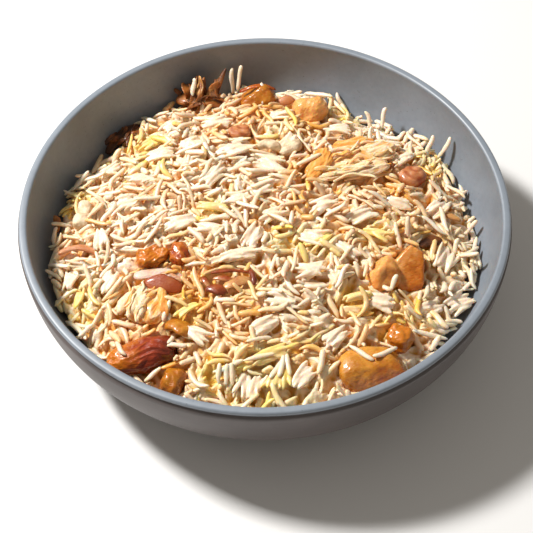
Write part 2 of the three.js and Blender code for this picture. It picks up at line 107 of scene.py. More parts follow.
# Pile of grains
PILE_CELL = 0.5
PILE_REACH = 110
RICE_SEED = 11
BED_LEVEL = 0.7  # how far under the heap's height the bed of grains stops
PILE_ROOM = 0.5  # depth under that level at which a place may take a grain
RIM_ROOM = 3  # how far the grains stay under the rim
STEEPEST = 0.9  # slope on which a grain still rests
SINK = 0.85  # how far grains press into what they lie on
BED_RISE = 1.4  # how far a grain of the bed may lie over the heap's height
LOOSE_RISE = 2.8  # the same for loose grains
BED_JAM = 0.14  # how much the slope of a grain of the bed is upset
LOOSE_JAM = 0.26
BROKEN_SHARE = 0.2
CRUMB_LENGTH = 0.32  # share of a whole grain
LEAST_GAP = 0.6  # depth under the heap's height that counts as filled
PATIENCE = 1200  # misses in a row before the bed counts as full
GRAIN_STATIONS = np.array([-0.97, -0.84, -0.6, -0.3, 0, 0.3, 0.6, 0.84, 0.97])
GRAIN_SIDES = 8
MOST_FACES = 190000  # in one piece of loose grains
STREW_REACH = 99
DEPTH_COLUMN = 7  # of a laid grain
CLEAN_COLUMN = 8

# Stained rice: x, y and spread of each place in millimetres, and how strong it is
GRAVY_STRENGTH = 0.45
SAFFRON_STRENGTH = 0.7
GRAVY_PLACES = [
    (-52, -66, 13, 1.0), (-50, -42, 13, 1.0), (-36, -28, 13, 0.9), (-22, -40, 11, 1.0), (-40, -80, 9, 0.9),
    (58, -27, 13, 0.8), (74, -7, 9, 0.8), (45, -76, 13, 0.8), (58, -56, 9, 0.7), (32, 38, 17, 0.8),
    (56, 26, 12, 0.8), (71, 31, 10, 0.9), (24, 76, 11, 0.7), (-3, 84, 10, 0.8), (-31, 88, 12, 1.0),
    (-70, 66, 12, 1.0), (-84, 12, 9, 0.7), (-88, -10, 9, 0.5), (88, 12, 8, 0.6), (-12, 58, 8, 0.6),
    (10, -52, 14, 0.3), (20, 0, 16, 0.25), (-48.6, 20, 6, 1.0), (-35, 9, 5, 1.0), (-1, 3, 5, 0.9),
    (16, 6, 5, 0.9), (36, -1.5, 7, 0.9), (60, 13, 6, 0.8), (-63, 20, 6, 0.8), (-5, -55, 6, 0.7),
    (14, -73, 7, 0.9), (37, -46, 6, 0.6), (-26, 57, 5, 1.0), (-4, 70, 6, 1.0), (24, 64, 5, 1.0),
    (14, 27, 7, 1.0), (-13, -65, 7, 0.6),
]
SAFFRON_PLACES = [
    (86, 65, 5, 0.9), (41, 78, 5, 0.8), (81, 42, 6, 0.8), (24, -14, 7, 0.8), (51, -8, 6, 0.8),
    (39, -43, 6, 0.9), (-82, -37, 8, 0.7), (-35, -49, 6, 0.9), (68, -47, 6, 0.7), (-88, 22, 5, 0.9),
    (4, -80, 14, 0.75), (-25, 6, 5, 0.9), (8, -13, 5, 0.7), (-60, 57, 8, 0.6), (-55, 41, 6, 0.6),
    (-22, -77, 6, 0.8), (10, 62, 7, 0.5), (-8, -38, 6, 0.5), (52, -54, 5, 0.7), (78, -14, 9, 0.5),
]

# Grains that stand out: the foot in millimetres, the turn from +X and the rise in degrees, and the length
STANDING_GRAINS = [
    (-15.5, 94, 88, 58, 13.5), (-13, 94, 70, 58, 13.5), (84, 46, 42, 48, 12), (79, 49, 66, 52, 11),
    (58, 68, 72, 48, 11), (54, 68, 118, 38, 10), (92, 2, 34, 45, 11), (88, -14, -18, 30, 10),
    (-77, 55, 122, 55, 10), (65, -9, 95, 50, 10), (-43, -58, 82, 40, 11), (85.2, 59.3, 49, 30, 10),
    (89.9, 56.7, 58, 40, 8), (-85, 56, 56, 48, 12), (-23, -46, 54, 28, 8), (-44.7, -53.4, 72, 22, 10),
    (-35, 85, 80, 42, 9), (-31, 79, 75, 34, 8.5), (0, 80, 93, 36, 11), (54.6, -38.4, 62, 30, 8),
]
LYING_GRAINS = [
    (83.9, -3.3, 101, 2, 15), (83.7, -4.5, 148, 8, 14.5), (95.6, -0.2, 63, 12, 13.5), (93, 7.6, 44, 8, 9),
    (89.9, 20.4, 39, 4, 12), (61.1, -15, 100, -9, 13), (35, -67.1, -39, -6, 13.2),
    (56.1, -67.8, -149, 3, 13.5), (29.8, -40.2, 56, 6, 12.7), (-21.7, -46.2, -7, 4, 8.5),
    (-42.5, -66.3, -3, -7, 8.5), (-42, -66.2, 67, 20, 5.6), (-60, -71.6, 121, 20, 9.6),
    (-52.5, -79.1, 32, 18, 9.5), (-13.5, 7.7, -34, 2, 13.4), (-6.6, 16.7, 16, 5, 12.1),
    (-30, 24, 60, 8, 13), (1, 0, -35, 6, 13), (26, 0, 15, 8, 12), (-55, 17, 150, 8, 13),
    (-9, -68, 25, 8, 13), (-88.2, 34.3, 11, 12, 14), (-92.8, 30.4, 40, 5, 13), (-81.5, -57.5, 48, 16, 9),
    (-22.9, -79.3, 18, 6, 14), (-10, -75.2, 14, 8, 14), (1.2, -82.7, 62, 10, 11), (5, -82, 78, 12, 11),
    (9.5, -81, 96, 10, 10.5), (-20.4, -84.5, 88, 14, 9), (-17.6, -84.8, 84, 14, 9),
    (-14.6, -85, 92, 12, 9.5), (92, 24, 10, 30, 11), (93, 28, 25, 30, 10), (91, 34, 20, 30, 9),
    (-92, 20, 170, 30, 11), (-90, 8, 185, 30, 10), (-88, -20, 160, 20, 12), (90, 44, 30, 30, 10),
    (-60, 10, 20, 5, 14), (60, 8, 160, 5, 14), (15, 30, 30, 5, 14),
]

# Stage: degrees, except the distance in metres and the lens and floor in millimetres
KEY_TURN = 157
KEY_RISE = 52
VIEW_RISE = 49.324
VIEW_PITCH = 2.668
VIEW_YAW = 0.072
VIEW_ROLL = -0.799
VIEW_DISTANCE = 0.6
LENS = 90.264
SENSOR_WIDTH = 36
FLOOR_HALF = 3000
FLOOR_DROP = 0.1

# Sizes and colours that a user would change
def colour(name, description, value):
    return FloatVectorProperty(
        name=name, description=description, subtype="COLOR", size=3, min=0, max=1, default=value
    )


def distance(name, description, value):
    return FloatProperty(name=name, description=description, unit="LENGTH", min=0, default=value)


def amount(name, description, value, least=0):
    return IntProperty(name=name, description=description, min=least, default=value)


class BowlSettings(PropertyGroup):
    glaze: colour("Glaze", "Satin blue-grey glaze inside and over the lip", (0.20, 0.232, 0.275))
    # painted shade with a painted warm reflection: the outer wall is coloured darker and warmer than the
    # glaze inside
    outside: colour("Outside", "Warmer and darker glaze under the lip", (0.068, 0.053, 0.050))
    speckle: colour("Speckle", "Iron specks in the clay", (0.06, 0.055, 0.05))
    clay: colour("Clay", "Bare clay under the foot", (0.30, 0.24, 0.19))
    throwing_step: distance("Throwing lines", "Distance between the faint rings left by throwing", 0.0034)
    segments: amount("Segments", "Sides of the lathed bowl", 192, 48)


class RiceSettings(PropertyGroup):
    grain_length: distance("Grain length", "Usual length of a cooked grain", 0.0126)
    grain_width: distance("Grain width", "Usual width of a cooked grain", 0.0023)
    bed_depth: distance("Bed depth", "Depth of grains over the smooth core", 0.0055)
    packed_depth: distance("Packed depth", "How deep the grains are packed into the core", 0.003)
    loose_count: amount("Loose grains", "Grains strewn over the bed", 2400)
    crumb_count: amount("Crumbs", "Broken bits of grain strewn last", 300)
    mound_height: distance("Mound height", "How high the rice is heaped in low mounds", 0.0014)
    stick_depth: distance("Stick depth", "How far the rice covers its grains where they stick", 0.0008)
    gap_depth: distance("Gap depth", "How far the pressed rice stays below the loose grains", 0.0009)
    white: colour("White", "Plain cooked grain", (0.90, 0.79, 0.66))
    cream: colour("Cream", "Grain that has taken up a little gravy", (0.85, 0.64, 0.41))
    saffron: colour("Saffron", "Grain dyed by saffron water", (0.88, 0.69, 0.08))
    gravy: colour("Gravy", "Grain soaked in gravy", (0.80, 0.38, 0.05))
    # painted shade: the colour laid into the hollows of the packed rice
    deep: colour("Deep rice", "Packed rice under the loose grains", (0.70, 0.32, 0.035))


class ChickenSettings(PropertyGroup):
    flesh: colour("Flesh", "Lighter cooked flesh", (0.83, 0.42, 0.13))
    spice: colour("Spice", "Orange-brown spiced skin", (0.58, 0.17, 0.010))
    char: colour("Char", "Browned hollows and edges", (0.32, 0.065, 0.006))
    golden: colour("Golden", "Golden amber skin", (0.47, 0.165, 0.008))
    amber: colour("Amber", "Lighter amber skin", (0.68, 0.31, 0.045))
    glazed: colour("Glazed", "Dark red-brown glaze", (0.30, 0.034, 0.007))
    burnt: colour("Burnt", "Darkest folds of the glaze", (0.085, 0.011, 0.004))
    torn: colour("Torn", "Torn flesh between its fibres", (0.86, 0.41, 0.09))
    shred: colour("Shred", "Pale torn fibres", (0.92, 0.72, 0.48))


class OnionSettings(PropertyGroup):
    burnt: colour("Burnt", "Darkest fried onion", (0.06, 0.018, 0.006))
    fried: colour("Fried", "Crisp brown onion", (0.34, 0.11, 0.02))
    amber: colour("Amber", "Golden parts of the fried onion", (0.66, 0.36, 0.13))
    glazed: colour("Glazed", "Dark glazed onion", (0.09, 0.010, 0.005))
    skin: colour("Skin", "Red-brown skin of the soft onion", (0.32, 0.06, 0.012))
    soft: colour("Soft", "Soft translucent onion", (0.56, 0.23, 0.09))
    clear: colour("Clear", "Palest soft onion", (0.74, 0.54, 0.44))


class NutSettings(PropertyGroup):
    nut: colour("Nut", "Pale beige nut", (0.80, 0.65, 0.44))
    fold: colour("Fold", "Folds of the nut", (0.42, 0.24, 0.11))
    bone: colour("Bone", "Pale bone end", (0.80, 0.66, 0.46))
    hollow: colour("Hollow", "Hollows of the bone", (0.46, 0.28, 0.12))


class StageSettings(PropertyGroup):
    floor: colour("Floor", "Plain pale floor", (0.80, 0.80, 0.80))
    sky: colour("Sky", "Soft light from all round", (1.0, 0.93, 0.83))
    sky_strength: FloatProperty(
        name="Sky strength", description="Strength of the soft light", min=0, default=0.29
    )
    key: colour("Key", "Colour of the key light", (1.0, 0.98, 0.95))
    key_power: FloatProperty(
        name="Key power", description="Power of the key light", unit="POWER", default=22
    )
    key_size: distance("Key size", "Width of the key light", 0.15)
    key_distance: distance("Key distance", "How far the key light is from the food", 1.2)


# Cooked skins: the tones from dark to light, then how far light goes in, the roughness and the wet coat
CHICKEN_SKINS = {
    "chicken_spiced": ("char", "spice", "flesh", 0.7, 0.2, 0.5),
    "chicken_golden": ("char", "golden", "amber", 0.4, 0.18, 0.7),
    "chicken_sticky": ("glazed", "spice", "golden", 0.25, 0.2, 0.6),
    "chicken_glazed": ("burnt", "glazed", "spice", 0.1, 0.12, 0.6),
    "chicken_torn": ("spice", "torn", "shred", 0.4, 0.34, 0.25),
}
ONION_SKINS = {
    "fried_onion": ("burnt", "fried", "amber", 0.3, 0.3, 0.15),
    "glazed_onion": ("glazed", "skin", "amber", 0.25, 0.15, 0.6),
    "soft_onion": ("skin", "soft", "clear", 0.4, 0.2, 0.4),
}


# Shader nodes
def connect(tree, socket, value):
    """Links a wire to a socket, or sets a value on it."""
    if isinstance(value, Wire):
        tree.links.new(value.socket, socket)
    elif hasattr(socket.default_value, "__len__") and len(value) < len(socket.default_value):
        socket.default_value = (*value, 1)
    else:
        socket.default_value = value


class Wire:
    """A shader socket whose arithmetic adds Math nodes."""

    def __init__(self, tree, socket):
        self.tree = tree
        self.socket = socket

    def math(self, operation, first, second):
        node = self.tree.nodes.new("ShaderNodeMath")
        node.operation = operation
        connect(self.tree, node.inputs[0], first)
        connect(self.tree, node.inputs[1], second)
        return Wire(self.tree, node.outputs[0])

    def __add__(self, other):
        return self.math("ADD", self, other)

    def __sub__(self, other):
        return self.math("SUBTRACT", self, other)

    def __rsub__(self, other):
        return self.math("SUBTRACT", other, self)

    def __mul__(self, other):
        return self.math("MULTIPLY", self, other)

    __radd__ = __add__
    __rmul__ = __mul__

    def clipped(self):
        return self.math("MINIMUM", self.math("MAXIMUM", self, 0), 1)


class Finish:
    """A material: its shader, and the nodes that vary it over the surface."""

    def __init__(self, name, **constants):
        self.material = bpy.data.materials.new(name)
        self.material.use_nodes = True
        self.tree = self.material.node_tree
        self.shader = self.tree.nodes["Principled BSDF"]
        for key, value in constants.items():
            connect(self.tree, self.shader.inputs[key.replace("_", " ")], value)

    def node(self, kind, settings=None, sockets=None, output=0):
        """Any other node, from its type, its settings, what its sockets take and the output used."""
        node = self.tree.nodes.new(kind)
        for key, value in (settings or {}).items():
            setattr(node, key, value)
        for key, value in (sockets or {}).items():
            connect(self.tree, node.inputs[key], value)
        return Wire(self.tree, node.outputs[output])

    def place(self, stretch=(1, 1, 1)):
        """The place on the piece, in metres."""
        spot = self.node("ShaderNodeTexCoord", output="Object")
        settings = {"operation": "MULTIPLY"}
        return self.node("ShaderNodeVectorMath", settings, {0: spot, 1: stretch})

    def noise(self, size, detail=3, stretch=(1, 1, 1)):
        """Cloudy noise from 0 to 1 whose patches are about size metres across."""
        sockets = {"Vector": self.place(stretch), "Scale": 1 / size, "Detail": detail, "Roughness": 0.55}
        return self.node("ShaderNodeTexNoise", None, sockets, "Fac")

    def ramp(self, wire, low, high):
        """0 below low and 1 above high, smooth between."""
        sockets = {"Value": wire, "From Min": low, "From Max": high}
        return self.node("ShaderNodeMapRange", {"interpolation_type": "SMOOTHSTEP"}, sockets)

    def attribute(self, name):
        return self.node("ShaderNodeAttribute", {"attribute_name": name}, output="Fac")

    def blend(self, factor, first, second):
        sockets = {0: factor, 6: first, 7: second}
        return self.node("ShaderNodeMix", {"data_type": "RGBA"}, sockets, 2)

    def feed(self, name, wire):
        connect(self.tree, self.shader.inputs[name], wire)

    def bump(self, height, depth):
        """Relief of that depth in metres where height runs from 0 to 1."""
        sockets = {"Height": height, "Distance": depth, "Strength": 1.0}
        self.feed("Normal", self.node("ShaderNodeBump", None, sockets))

    def soft_inside(self, weight, scale, radius):
        """Lets light through the outer millimetres."""
        self.shader.inputs["Subsurface Weight"].default_value = weight
        self.shader.inputs["Subsurface Radius"].default_value = radius
        self.shader.inputs["Subsurface Scale"].default_value = scale


def toned(tone, share):
    """A colour made lighter or darker by that share."""
    return tuple(share * part for part in tone)


def stoneware(bowl):
    """Satin glaze, blue-grey inside and darker outside as painted shade and warm reflection, with clouds,
    specks and faint throwing lines.
    """
    finish = Finish("stoneware", Coat_Weight=0.15, Coat_Roughness=0.3, Specular_IOR_Level=0.9)
    cloud = finish.noise(0.035, 4)
    fine = finish.noise(0.0022, 4)
    specks = finish.ramp(finish.noise(0.0010, 1), 0.71, 0.77)
    height = finish.node("ShaderNodeSeparateXYZ", None, {0: finish.place()}, "Z")
    outside = finish.attribute("outside")
    edge = finish.ramp(height, (BOWL_HEIGHT - 0.9) * MM, (BOWL_HEIGHT - 0.1) * MM)
    foot = 1 - finish.ramp(height, 0.0004, 0.0016)
    mottle = finish.ramp(cloud + (fine - 0.5) * 0.3, 0.3, 0.7)
    inner = finish.blend(mottle, toned(bowl.glaze, 0.86), toned(bowl.glaze, 1.1))
    # painted shade and a painted warm reflection on the outer wall
    outer = finish.blend(mottle, tuple(bowl.outside), toned(bowl.outside, 1.5))
    tone = finish.blend(outside, inner, outer)
    tone = finish.blend(edge * (0.25 + fine * 0.5), tone, toned(bowl.glaze, 1.1))
    tone = finish.blend(specks * 0.6, tone, tuple(bowl.speckle))
    tone = finish.blend(foot * 0.8, tone, tuple(bowl.clay))
    finish.feed("Base Color", tone)
    finish.feed("Roughness", 0.42 + fine * 0.12 + outside * 0.1 + foot * 0.3)
    turns = height * (2 * math.pi / bowl.throwing_step)
    rings = finish.node("ShaderNodeMath", {"operation": "SINE"}, {0: turns})
    finish.bump(rings * 0.03 + cloud * 0.8 + fine * 0.2 - specks * 0.1, 0.0002)
    return finish.material


def rice_grain(name, pale, rich, yellow, gravy):
    """Cooked grain: pale to rich by its own shade, stained where saffron or gravy has reached it, with
    painted shade where it lies deep or turns under.
    """
    finish = Finish(name, Coat_Weight=0.2, Coat_Roughness=0.2)
    finish.soft_inside(0.65, 0.0018, (1.0, 0.6, 0.32))
    streak = finish.noise(0.0016, 2)
    cloud = finish.ramp(finish.noise(0.006, 2), 0.35, 0.65)
    richness = (finish.attribute("shade") * 0.7 + cloud * 0.3).clipped()
    yellowness = (finish.attribute("yellow") * (cloud * 0.7 + 0.5)).clipped()
    # the soaked value holds gravy stain and painted shade on undersides and deep grains
    soaked = (finish.attribute("soaked") + (streak - 0.5) * 0.35).clipped()
    tone = finish.blend(richness, pale, rich)
    tone = finish.blend(yellowness, tone, yellow)
    tone = finish.blend(soaked, tone, gravy)
    finish.feed("Base Color", tone)
    finish.feed("Roughness", 0.30 + streak * 0.2)
    finish.bump(streak, 0.0002)
    return finish.material


def packed_rice(rice):
    """Rice pressed together under the loose grains, browner where it lies deeper, which is painted shade in
    its hollows.
    """
    finish = Finish("packed_rice", Coat_Weight=0.2, Coat_Roughness=0.25)
    finish.soft_inside(0.5, 0.002, (1.0, 0.55, 0.25))
    patches = finish.ramp(finish.noise(0.008, 3), 0.35, 0.65)
    fine = finish.noise(0.0016, 3)
    # painted shade: the pile's hollows, carried by the shade attribute, turn the rice towards the deep
    # colour
    depth = (finish.attribute("shade") + (fine - 0.5) * 0.4).clipped()
    yellowness = (finish.attribute("yellow") * (patches * 0.6 + 0.4)).clipped()
    tone = finish.blend(patches * 0.6, tuple(rice.white), tuple(rice.cream))
    tone = finish.blend(depth, tone, tuple(rice.deep))
    tone = finish.blend(yellowness, tone, tuple(rice.saffron))
    tone = finish.blend(finish.attribute("soaked"), tone, tuple(rice.gravy))
    finish.feed("Base Color", tone)
    finish.feed("Roughness", 0.34 + fine * 0.25)
    finish.bump(fine * 0.7 + finish.noise(0.003, 2, (1, 2, 2)) * 0.6, 0.0006)
    return finish.material


def cooked(name, deep, middle, light, glow, roughness, coat):
    """Cooked meat or onion: dark to light by its own shade, with fine fibres and a wet shine."""
    finish = Finish(name, Coat_Roughness=0.14, Specular_IOR_Level=0.3)
    finish.soft_inside(glow, 0.002, (1.0, 0.35, 0.1))
    broad = finish.noise(0.006, 4)
    fibres = finish.noise(0.0012, 4, (1, 2.2, 2.2))
    shade = (finish.attribute("shade") + (broad - 0.5) * 0.45 + (fibres - 0.5) * 0.35).clipped()
    tone = finish.blend((shade * 2).clipped(), tuple(deep), tuple(middle))
    tone = finish.blend((shade * 2 - 1).clipped(), tone, tuple(light))
    finish.feed("Base Color", tone)
    finish.feed("Roughness", roughness + fibres * 0.22)
    finish.feed("Coat Weight", (coat * 1.5 - broad * coat).clipped())
    finish.bump(fibres, 0.0003)
    return finish.material


def cooked_skins(settings, table):
    """All the cooked materials of a table, by name."""
    skins = {}
    for name, (*tones, glow, roughness, coat) in table.items():
        skins[name] = cooked(name, *(getattr(settings, tone) for tone in tones), glow, roughness, coat)
    return skins


def nut_skin(name, tone, dark):
    """Dry pale skin, darker in its folds."""
    finish = Finish(name, Coat_Weight=0.1)
    finish.soft_inside(0.1, 0.002, (1.0, 0.2, 0.1))
    broad = finish.noise(0.004, 3)
    fine = finish.noise(0.0008, 3)
    folds = finish.ramp(broad, 0.40, 0.66) * 0.7
    finish.feed("Base Color", finish.blend(folds, tuple(tone), tuple(dark)))
    finish.feed("Roughness", 0.42 + fine * 0.25)
    finish.bump(fine, 0.0003)
    return finish.material


# Mesh building
BALL_DETAIL = 5  # how often the ball under a chunk is divided


def mesh_object(name, points, faces, material, values=None):
    """A smooth object from points in millimetres and rows of corner numbers, with values per point."""
    points = np.asarray(points, dtype=np.float32)
    faces = np.asarray(faces, dtype=np.int32)
    mesh = bpy.data.meshes.new(name)
    mesh.vertices.add(len(points))
    mesh.vertices.foreach_set("co", (points * MM).ravel())
    mesh.loops.add(faces.size)
    mesh.loops.foreach_set("vertex_index", faces.ravel())
    mesh.polygons.add(len(faces))
    mesh.polygons.foreach_set("loop_start", np.arange(0, faces.size, faces.shape[1], dtype=np.int32))
    mesh.polygons.foreach_set("use_smooth", np.ones(len(faces), dtype=bool))
    mesh.update(calc_edges=True)
    for key, value in (values or {}).items():
        data = mesh.attributes.new(key, "FLOAT", "POINT").data
        data.foreach_set("value", np.asarray(value, dtype=np.float32))
    mesh.materials.append(material)
    piece = bpy.data.objects.new(name, mesh)
    bpy.context.scene.collection.objects.link(piece)
    return piece


def dressed(piece, node):
    """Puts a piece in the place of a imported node."""
    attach(piece, "root")
    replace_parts(piece, node)


def joined(shapes):
    """Several (points, faces) as one."""
    points = []
    faces = []
    count = 0
    for shape_points, shape_faces in shapes:
        points.append(shape_points)
        faces.append(np.asarray(shape_faces) + count)
        count += len(shape_points)
    return np.concatenate(points), np.concatenate(faces)


def tube_faces(rings, sides):
    """Triangles of a skin over rings of points, with the first tip and the last tip stored after them."""
    side = np.arange(sides)
    after = (side + 1) % sides
    first = rings * sides
    last = first + 1
    end = (rings - 1) * sides
    faces = [np.stack([np.full(sides, first), after, side], 1)]
    for ring in range(rings - 1):
        low = ring * sides
        high = low + sides
        faces.append(np.stack([low + side, low + after, high + after], 1))
        faces.append(np.stack([low + side, high + after, high + side], 1))
    faces.append(np.stack([end + side, end + after, np.full(sides, last)], 1))
    return np.concatenate(faces)


def turned(points, heading=0, pitch=0, roll=0):
    """Points rolled about X, raised about Y, then turned about Z, in degrees."""
    turn = Matrix.Rotation(math.radians(heading), 3, "Z")
    turn @= Matrix.Rotation(math.radians(-pitch), 3, "Y")
    turn @= Matrix.Rotation(math.radians(roll), 3, "X")
    return points @ np.array(turn).T


def ball():
    """Points and triangles of a round ball of radius 1."""
    work = bmesh.new()
    bmesh.ops.create_icosphere(work, subdivisions=BALL_DETAIL, radius=1)
    points = np.array([corner.co for corner in work.verts])
    faces = np.array([[corner.index for corner in face.verts] for face in work.faces])
    work.free()
    return points / np.linalg.norm(points, axis=1)[:, None], faces


def chunk(x, y, lift, size, heading=0, tilt=0, cuts=(), power=3, rough=0.05, phase=0, crisp=14):
    """A rounded block with flat cuts across it and a bumpy skin, laid into the heap."""
    way, faces = ball()
    total = (np.abs(way / np.array(size)) ** power).sum(1) ** (crisp / power)
    for *facing, reach in cuts:
        facing = np.array(facing) / np.linalg.norm(facing)
        total += np.maximum(0, way @ facing / reach) ** crisp
    wave = np.sin(4.1 * way[:, 0] + phase) * np.sin(3.7 * way[:, 1] + 2 * phase)
    wave += np.sin(5.3 * way[:, 2] + 3 * phase) / 2
    points = way * (total ** (-1 / crisp) * (1 + rough * wave))[:, None]
    points = turned(points, heading, -tilt)
    return points + (x, y, heap_height(x, y) + lift), faces


def strip(
    x, y, lift, heading, length, width, thick,
    arch=0, curl=0, pitch=0, roll=0, ripple=0, twist=0, cup=0, phase=0, rings=22, sides=10,
):
    """A flat band along a smooth curve that rises from the heap and falls back."""
    along = np.linspace(-0.5, 0.5, rings)
    turn = math.radians(curl) * along
    if curl:
        bow = length / math.radians(curl)
        middle = np.stack([bow * np.sin(turn), bow * (1 - np.cos(turn)), 0 * along], 1)
    else:
        middle = np.stack([length * along, 0 * along, 0 * along], 1)
    middle[:, 2] = arch * (1 - 4 * along ** 2) + ripple * np.sin(11 * along + phase)
    middle[:, 1] += ripple * 0.7 * np.sin(7 * along + 2 * phase)
    taper = (1 - 0.5 * np.abs(2 * along) ** 4) * (1 + 0.12 * np.sin(9 * along + phase))
    lean = np.radians(twist) * along
    rows = []
    for side in range(sides):
        angle = 2 * math.pi * side / sides
        flat = taper * width / 2 * math.cos(angle)
        high = thick / 2 * math.sin(angle) + cup * (2 * flat / width) ** 2 * width / 2
        across = flat * np.cos(lean) - high * np.sin(lean)
        up = flat * np.sin(lean) + high * np.cos(lean)
        rows.append(middle + np.stack([-across * np.sin(turn), across * np.cos(turn), up], 1))
    ringed = np.stack(rows, 1)
    tips = []
    for end, way in ((0, -1), (-1, 1)):
        out = way * 0.35 * thick * np.array([math.cos(turn[end]), math.sin(turn[end]), 0])
        tips.append(ringed[end].mean(0) + out)
    points = np.concatenate([ringed.reshape(-1, 3), tips])
    points = turned(points, heading, pitch, roll) + (x, y, heap_height(x, y) + lift)
    return points, tube_faces(rings, sides)


def fused(name, shapes, relief, material, tone=0.5, painted_light_grade=(0, 0, 0), voxel=0.42, smooth=1):
    """The shapes joined into one softened skin with its relief, and a shade that follows the relief, with
    painted shade in its valleys and painted light and shade graded across the piece.
    """
    rough = mesh_object(name + "_rough", *joined(shapes), material)
    remesh = rough.modifiers.new("fuse", "REMESH")
    remesh.mode = "VOXEL"
    remesh.voxel_size = voxel * MM
    soften = rough.modifiers.new("soften", "SMOOTH")
    soften.factor = 0.5
    soften.iterations = smooth
    skin = rough.evaluated_get(bpy.context.evaluated_depsgraph_get()).to_mesh()
    count = len(skin.vertices)
    points = np.empty(count * 3)
    skin.vertices.foreach_get("co", points)
    normals = np.empty(count * 3)
    skin.vertices.foreach_get("normal", normals)
    skin.calc_loop_triangles()
    faces = np.empty(len(skin.loop_triangles) * 3, dtype=np.int32)
    skin.loop_triangles.foreach_get("vertices", faces)
    points = points.reshape(-1, 3) / MM
    height, shade = relief(points)
    # painted light and shade: the shade grades across the piece, lighter on its lit side and top
    reach = (points - points.mean(0)) / (np.ptp(points, axis=0) / 2)
    shade = np.clip(tone + shade + reach @ np.array(painted_light_grade), 0, 1)
    points += normals.reshape(-1, 3) * height[:, None]
    bpy.data.objects.remove(rough)
    return mesh_object(name, points, faces.reshape(-1, 3), material, {"shade": shade})


def noise_at(points, size, seed=0, stretch=(1, 1, 1)):
    """Smooth noise from -1 to 1 at points in millimetres, in patches of that size."""
    scaled = points * np.array(stretch) / size + seed
    return np.array([noise.noise(Vector(point)) for point in scaled])


def ridges_at(points, size, seed=0, stretch=(1, 1, 1)):
    """Sharp ridges, 1 at the crest."""
    return 1 - 2 * np.abs(noise_at(points, size, seed, stretch))


def meaty(heading, seed, lumps=0.5, fibres=0.2):
    """Relief of cooked meat whose fibres run along heading, and how it shades the skin: random tone with
    painted shade, darker on low crags and in fibre valleys.
    """

    def relief(points):
        lined = turned(points, -heading)
        coarse = noise_at(lined, 5, seed)
        crags = noise_at(lined, 2.2, seed + 4)
        lines = ridges_at(lined, 1.6, seed + 7, (0.28, 1, 1))
        grain = noise_at(lined, 0.9, seed + 3)
        height = coarse * lumps + crags * lumps * 0.6 + lines * fibres + grain * 0.07
        # painted shade: low crags and the valleys between fibres come out darker
        return height, 0.3 * noise_at(lined, 7, seed + 9) + 0.25 * crags + 0.5 * fibres * lines

    return relief


def torn(heading, seed):
    """Ridges of torn fibres along heading, pale on their crests: pale fibres of their own, with painted
    shade in the valleys between them.
    """

    def relief(points):
        lined = turned(points, -heading)
        bent = lined + np.stack([0 * lined[:, 0], 1.2 * np.sin(lined[:, 0] / 6 + seed), 0 * lined[:, 0]], 1)
        thick = ridges_at(bent, 2.6, seed, (0.2, 1, 1))
        thin = ridges_at(bent, 1.2, seed + 5, (0.22, 1, 1))
        # painted shade: darker in the valleys between the ridges, which are pale fibres of their own
        return thick * 0.5 + thin * 0.25 + noise_at(lined, 4, seed + 8) * 0.35, 0.4 * thick + 0.25 * thin

    return relief


def wrinkled(heading, seed, depth=0.55):
    """Deep wrinkles along heading, as on glazed skin."""

    def relief(points):
        lined = turned(points, -heading)
        bent = lined + np.stack([0 * lined[:, 0], 1.3 * np.sin(lined[:, 0] / 3.1), 0 * lined[:, 0]], 1)
        folds = ridges_at(bent, 2.4, seed, (0.3, 1, 1))
        height = folds * depth + noise_at(lined, 4, seed + 5) * 0.4 + noise_at(lined, 0.8, seed + 2) * 0.1
        # painted shade: darker down in the folds, lighter on their crests
        return height, 0.18 * folds

    return relief


def layered(x, y, seed):
    """Rings round a point, as in a slice of onion."""

    def relief(points):
        reach = np.hypot(points[:, 0] - x, points[:, 1] - y) + noise_at(points, 4, seed) * 1.2
        rings = np.minimum(0.2, np.sin(reach * 1.7)) + 0.2
        height = rings * 0.1 + noise_at(points, 3, seed + 4) * 0.3
        return height, 0.25 * rings + 0.3 * noise_at(points, 2.5, seed + 6)

    return relief


# Bowl
def wall_radius(wall, z):
    """The radius of a wall at that height."""
    depth = np.clip((BOWL_HEIGHT - z) / wall["depth"], 0, 1)
    bulge = (1 - depth ** wall["power"]) ** (1 / wall["power"])
    return wall["floor"] + (wall["mouth"] - wall["floor"]) * bulge


def wall_height(wall, radius):
    """The height at which a wall has that radius."""
    bulge = np.clip((radius - wall["floor"]) / (wall["mouth"] - wall["floor"]), 0, 1)
    return BOWL_HEIGHT - wall["depth"] * (1 - bulge ** wall["power"]) ** (1 / wall["power"])


def wall_points(wall, top, steps):
    """(radius, z) down a wall, closest together where it turns."""
    start = (BOWL_HEIGHT - top) / wall["depth"]
    turn = np.linspace(math.asin(start ** (wall["power"] / 2)), math.pi / 2, steps)
    across = np.maximum(0, np.cos(turn)) ** (2 / wall["power"])
    down = np.sin(turn) ** (2 / wall["power"])
    radius = wall["floor"] + (wall["mouth"] - wall["floor"]) * across
    return np.stack([radius, BOWL_HEIGHT - wall["depth"] * down], 1)


def arc(centre, radius, start, end, steps):
    """(radius, z) round part of a circle, in degrees."""
    turn = np.radians(np.linspace(start, end, steps))
    return np.stack([centre[0] + radius * np.cos(turn), centre[1] + radius * np.sin(turn)], 1)


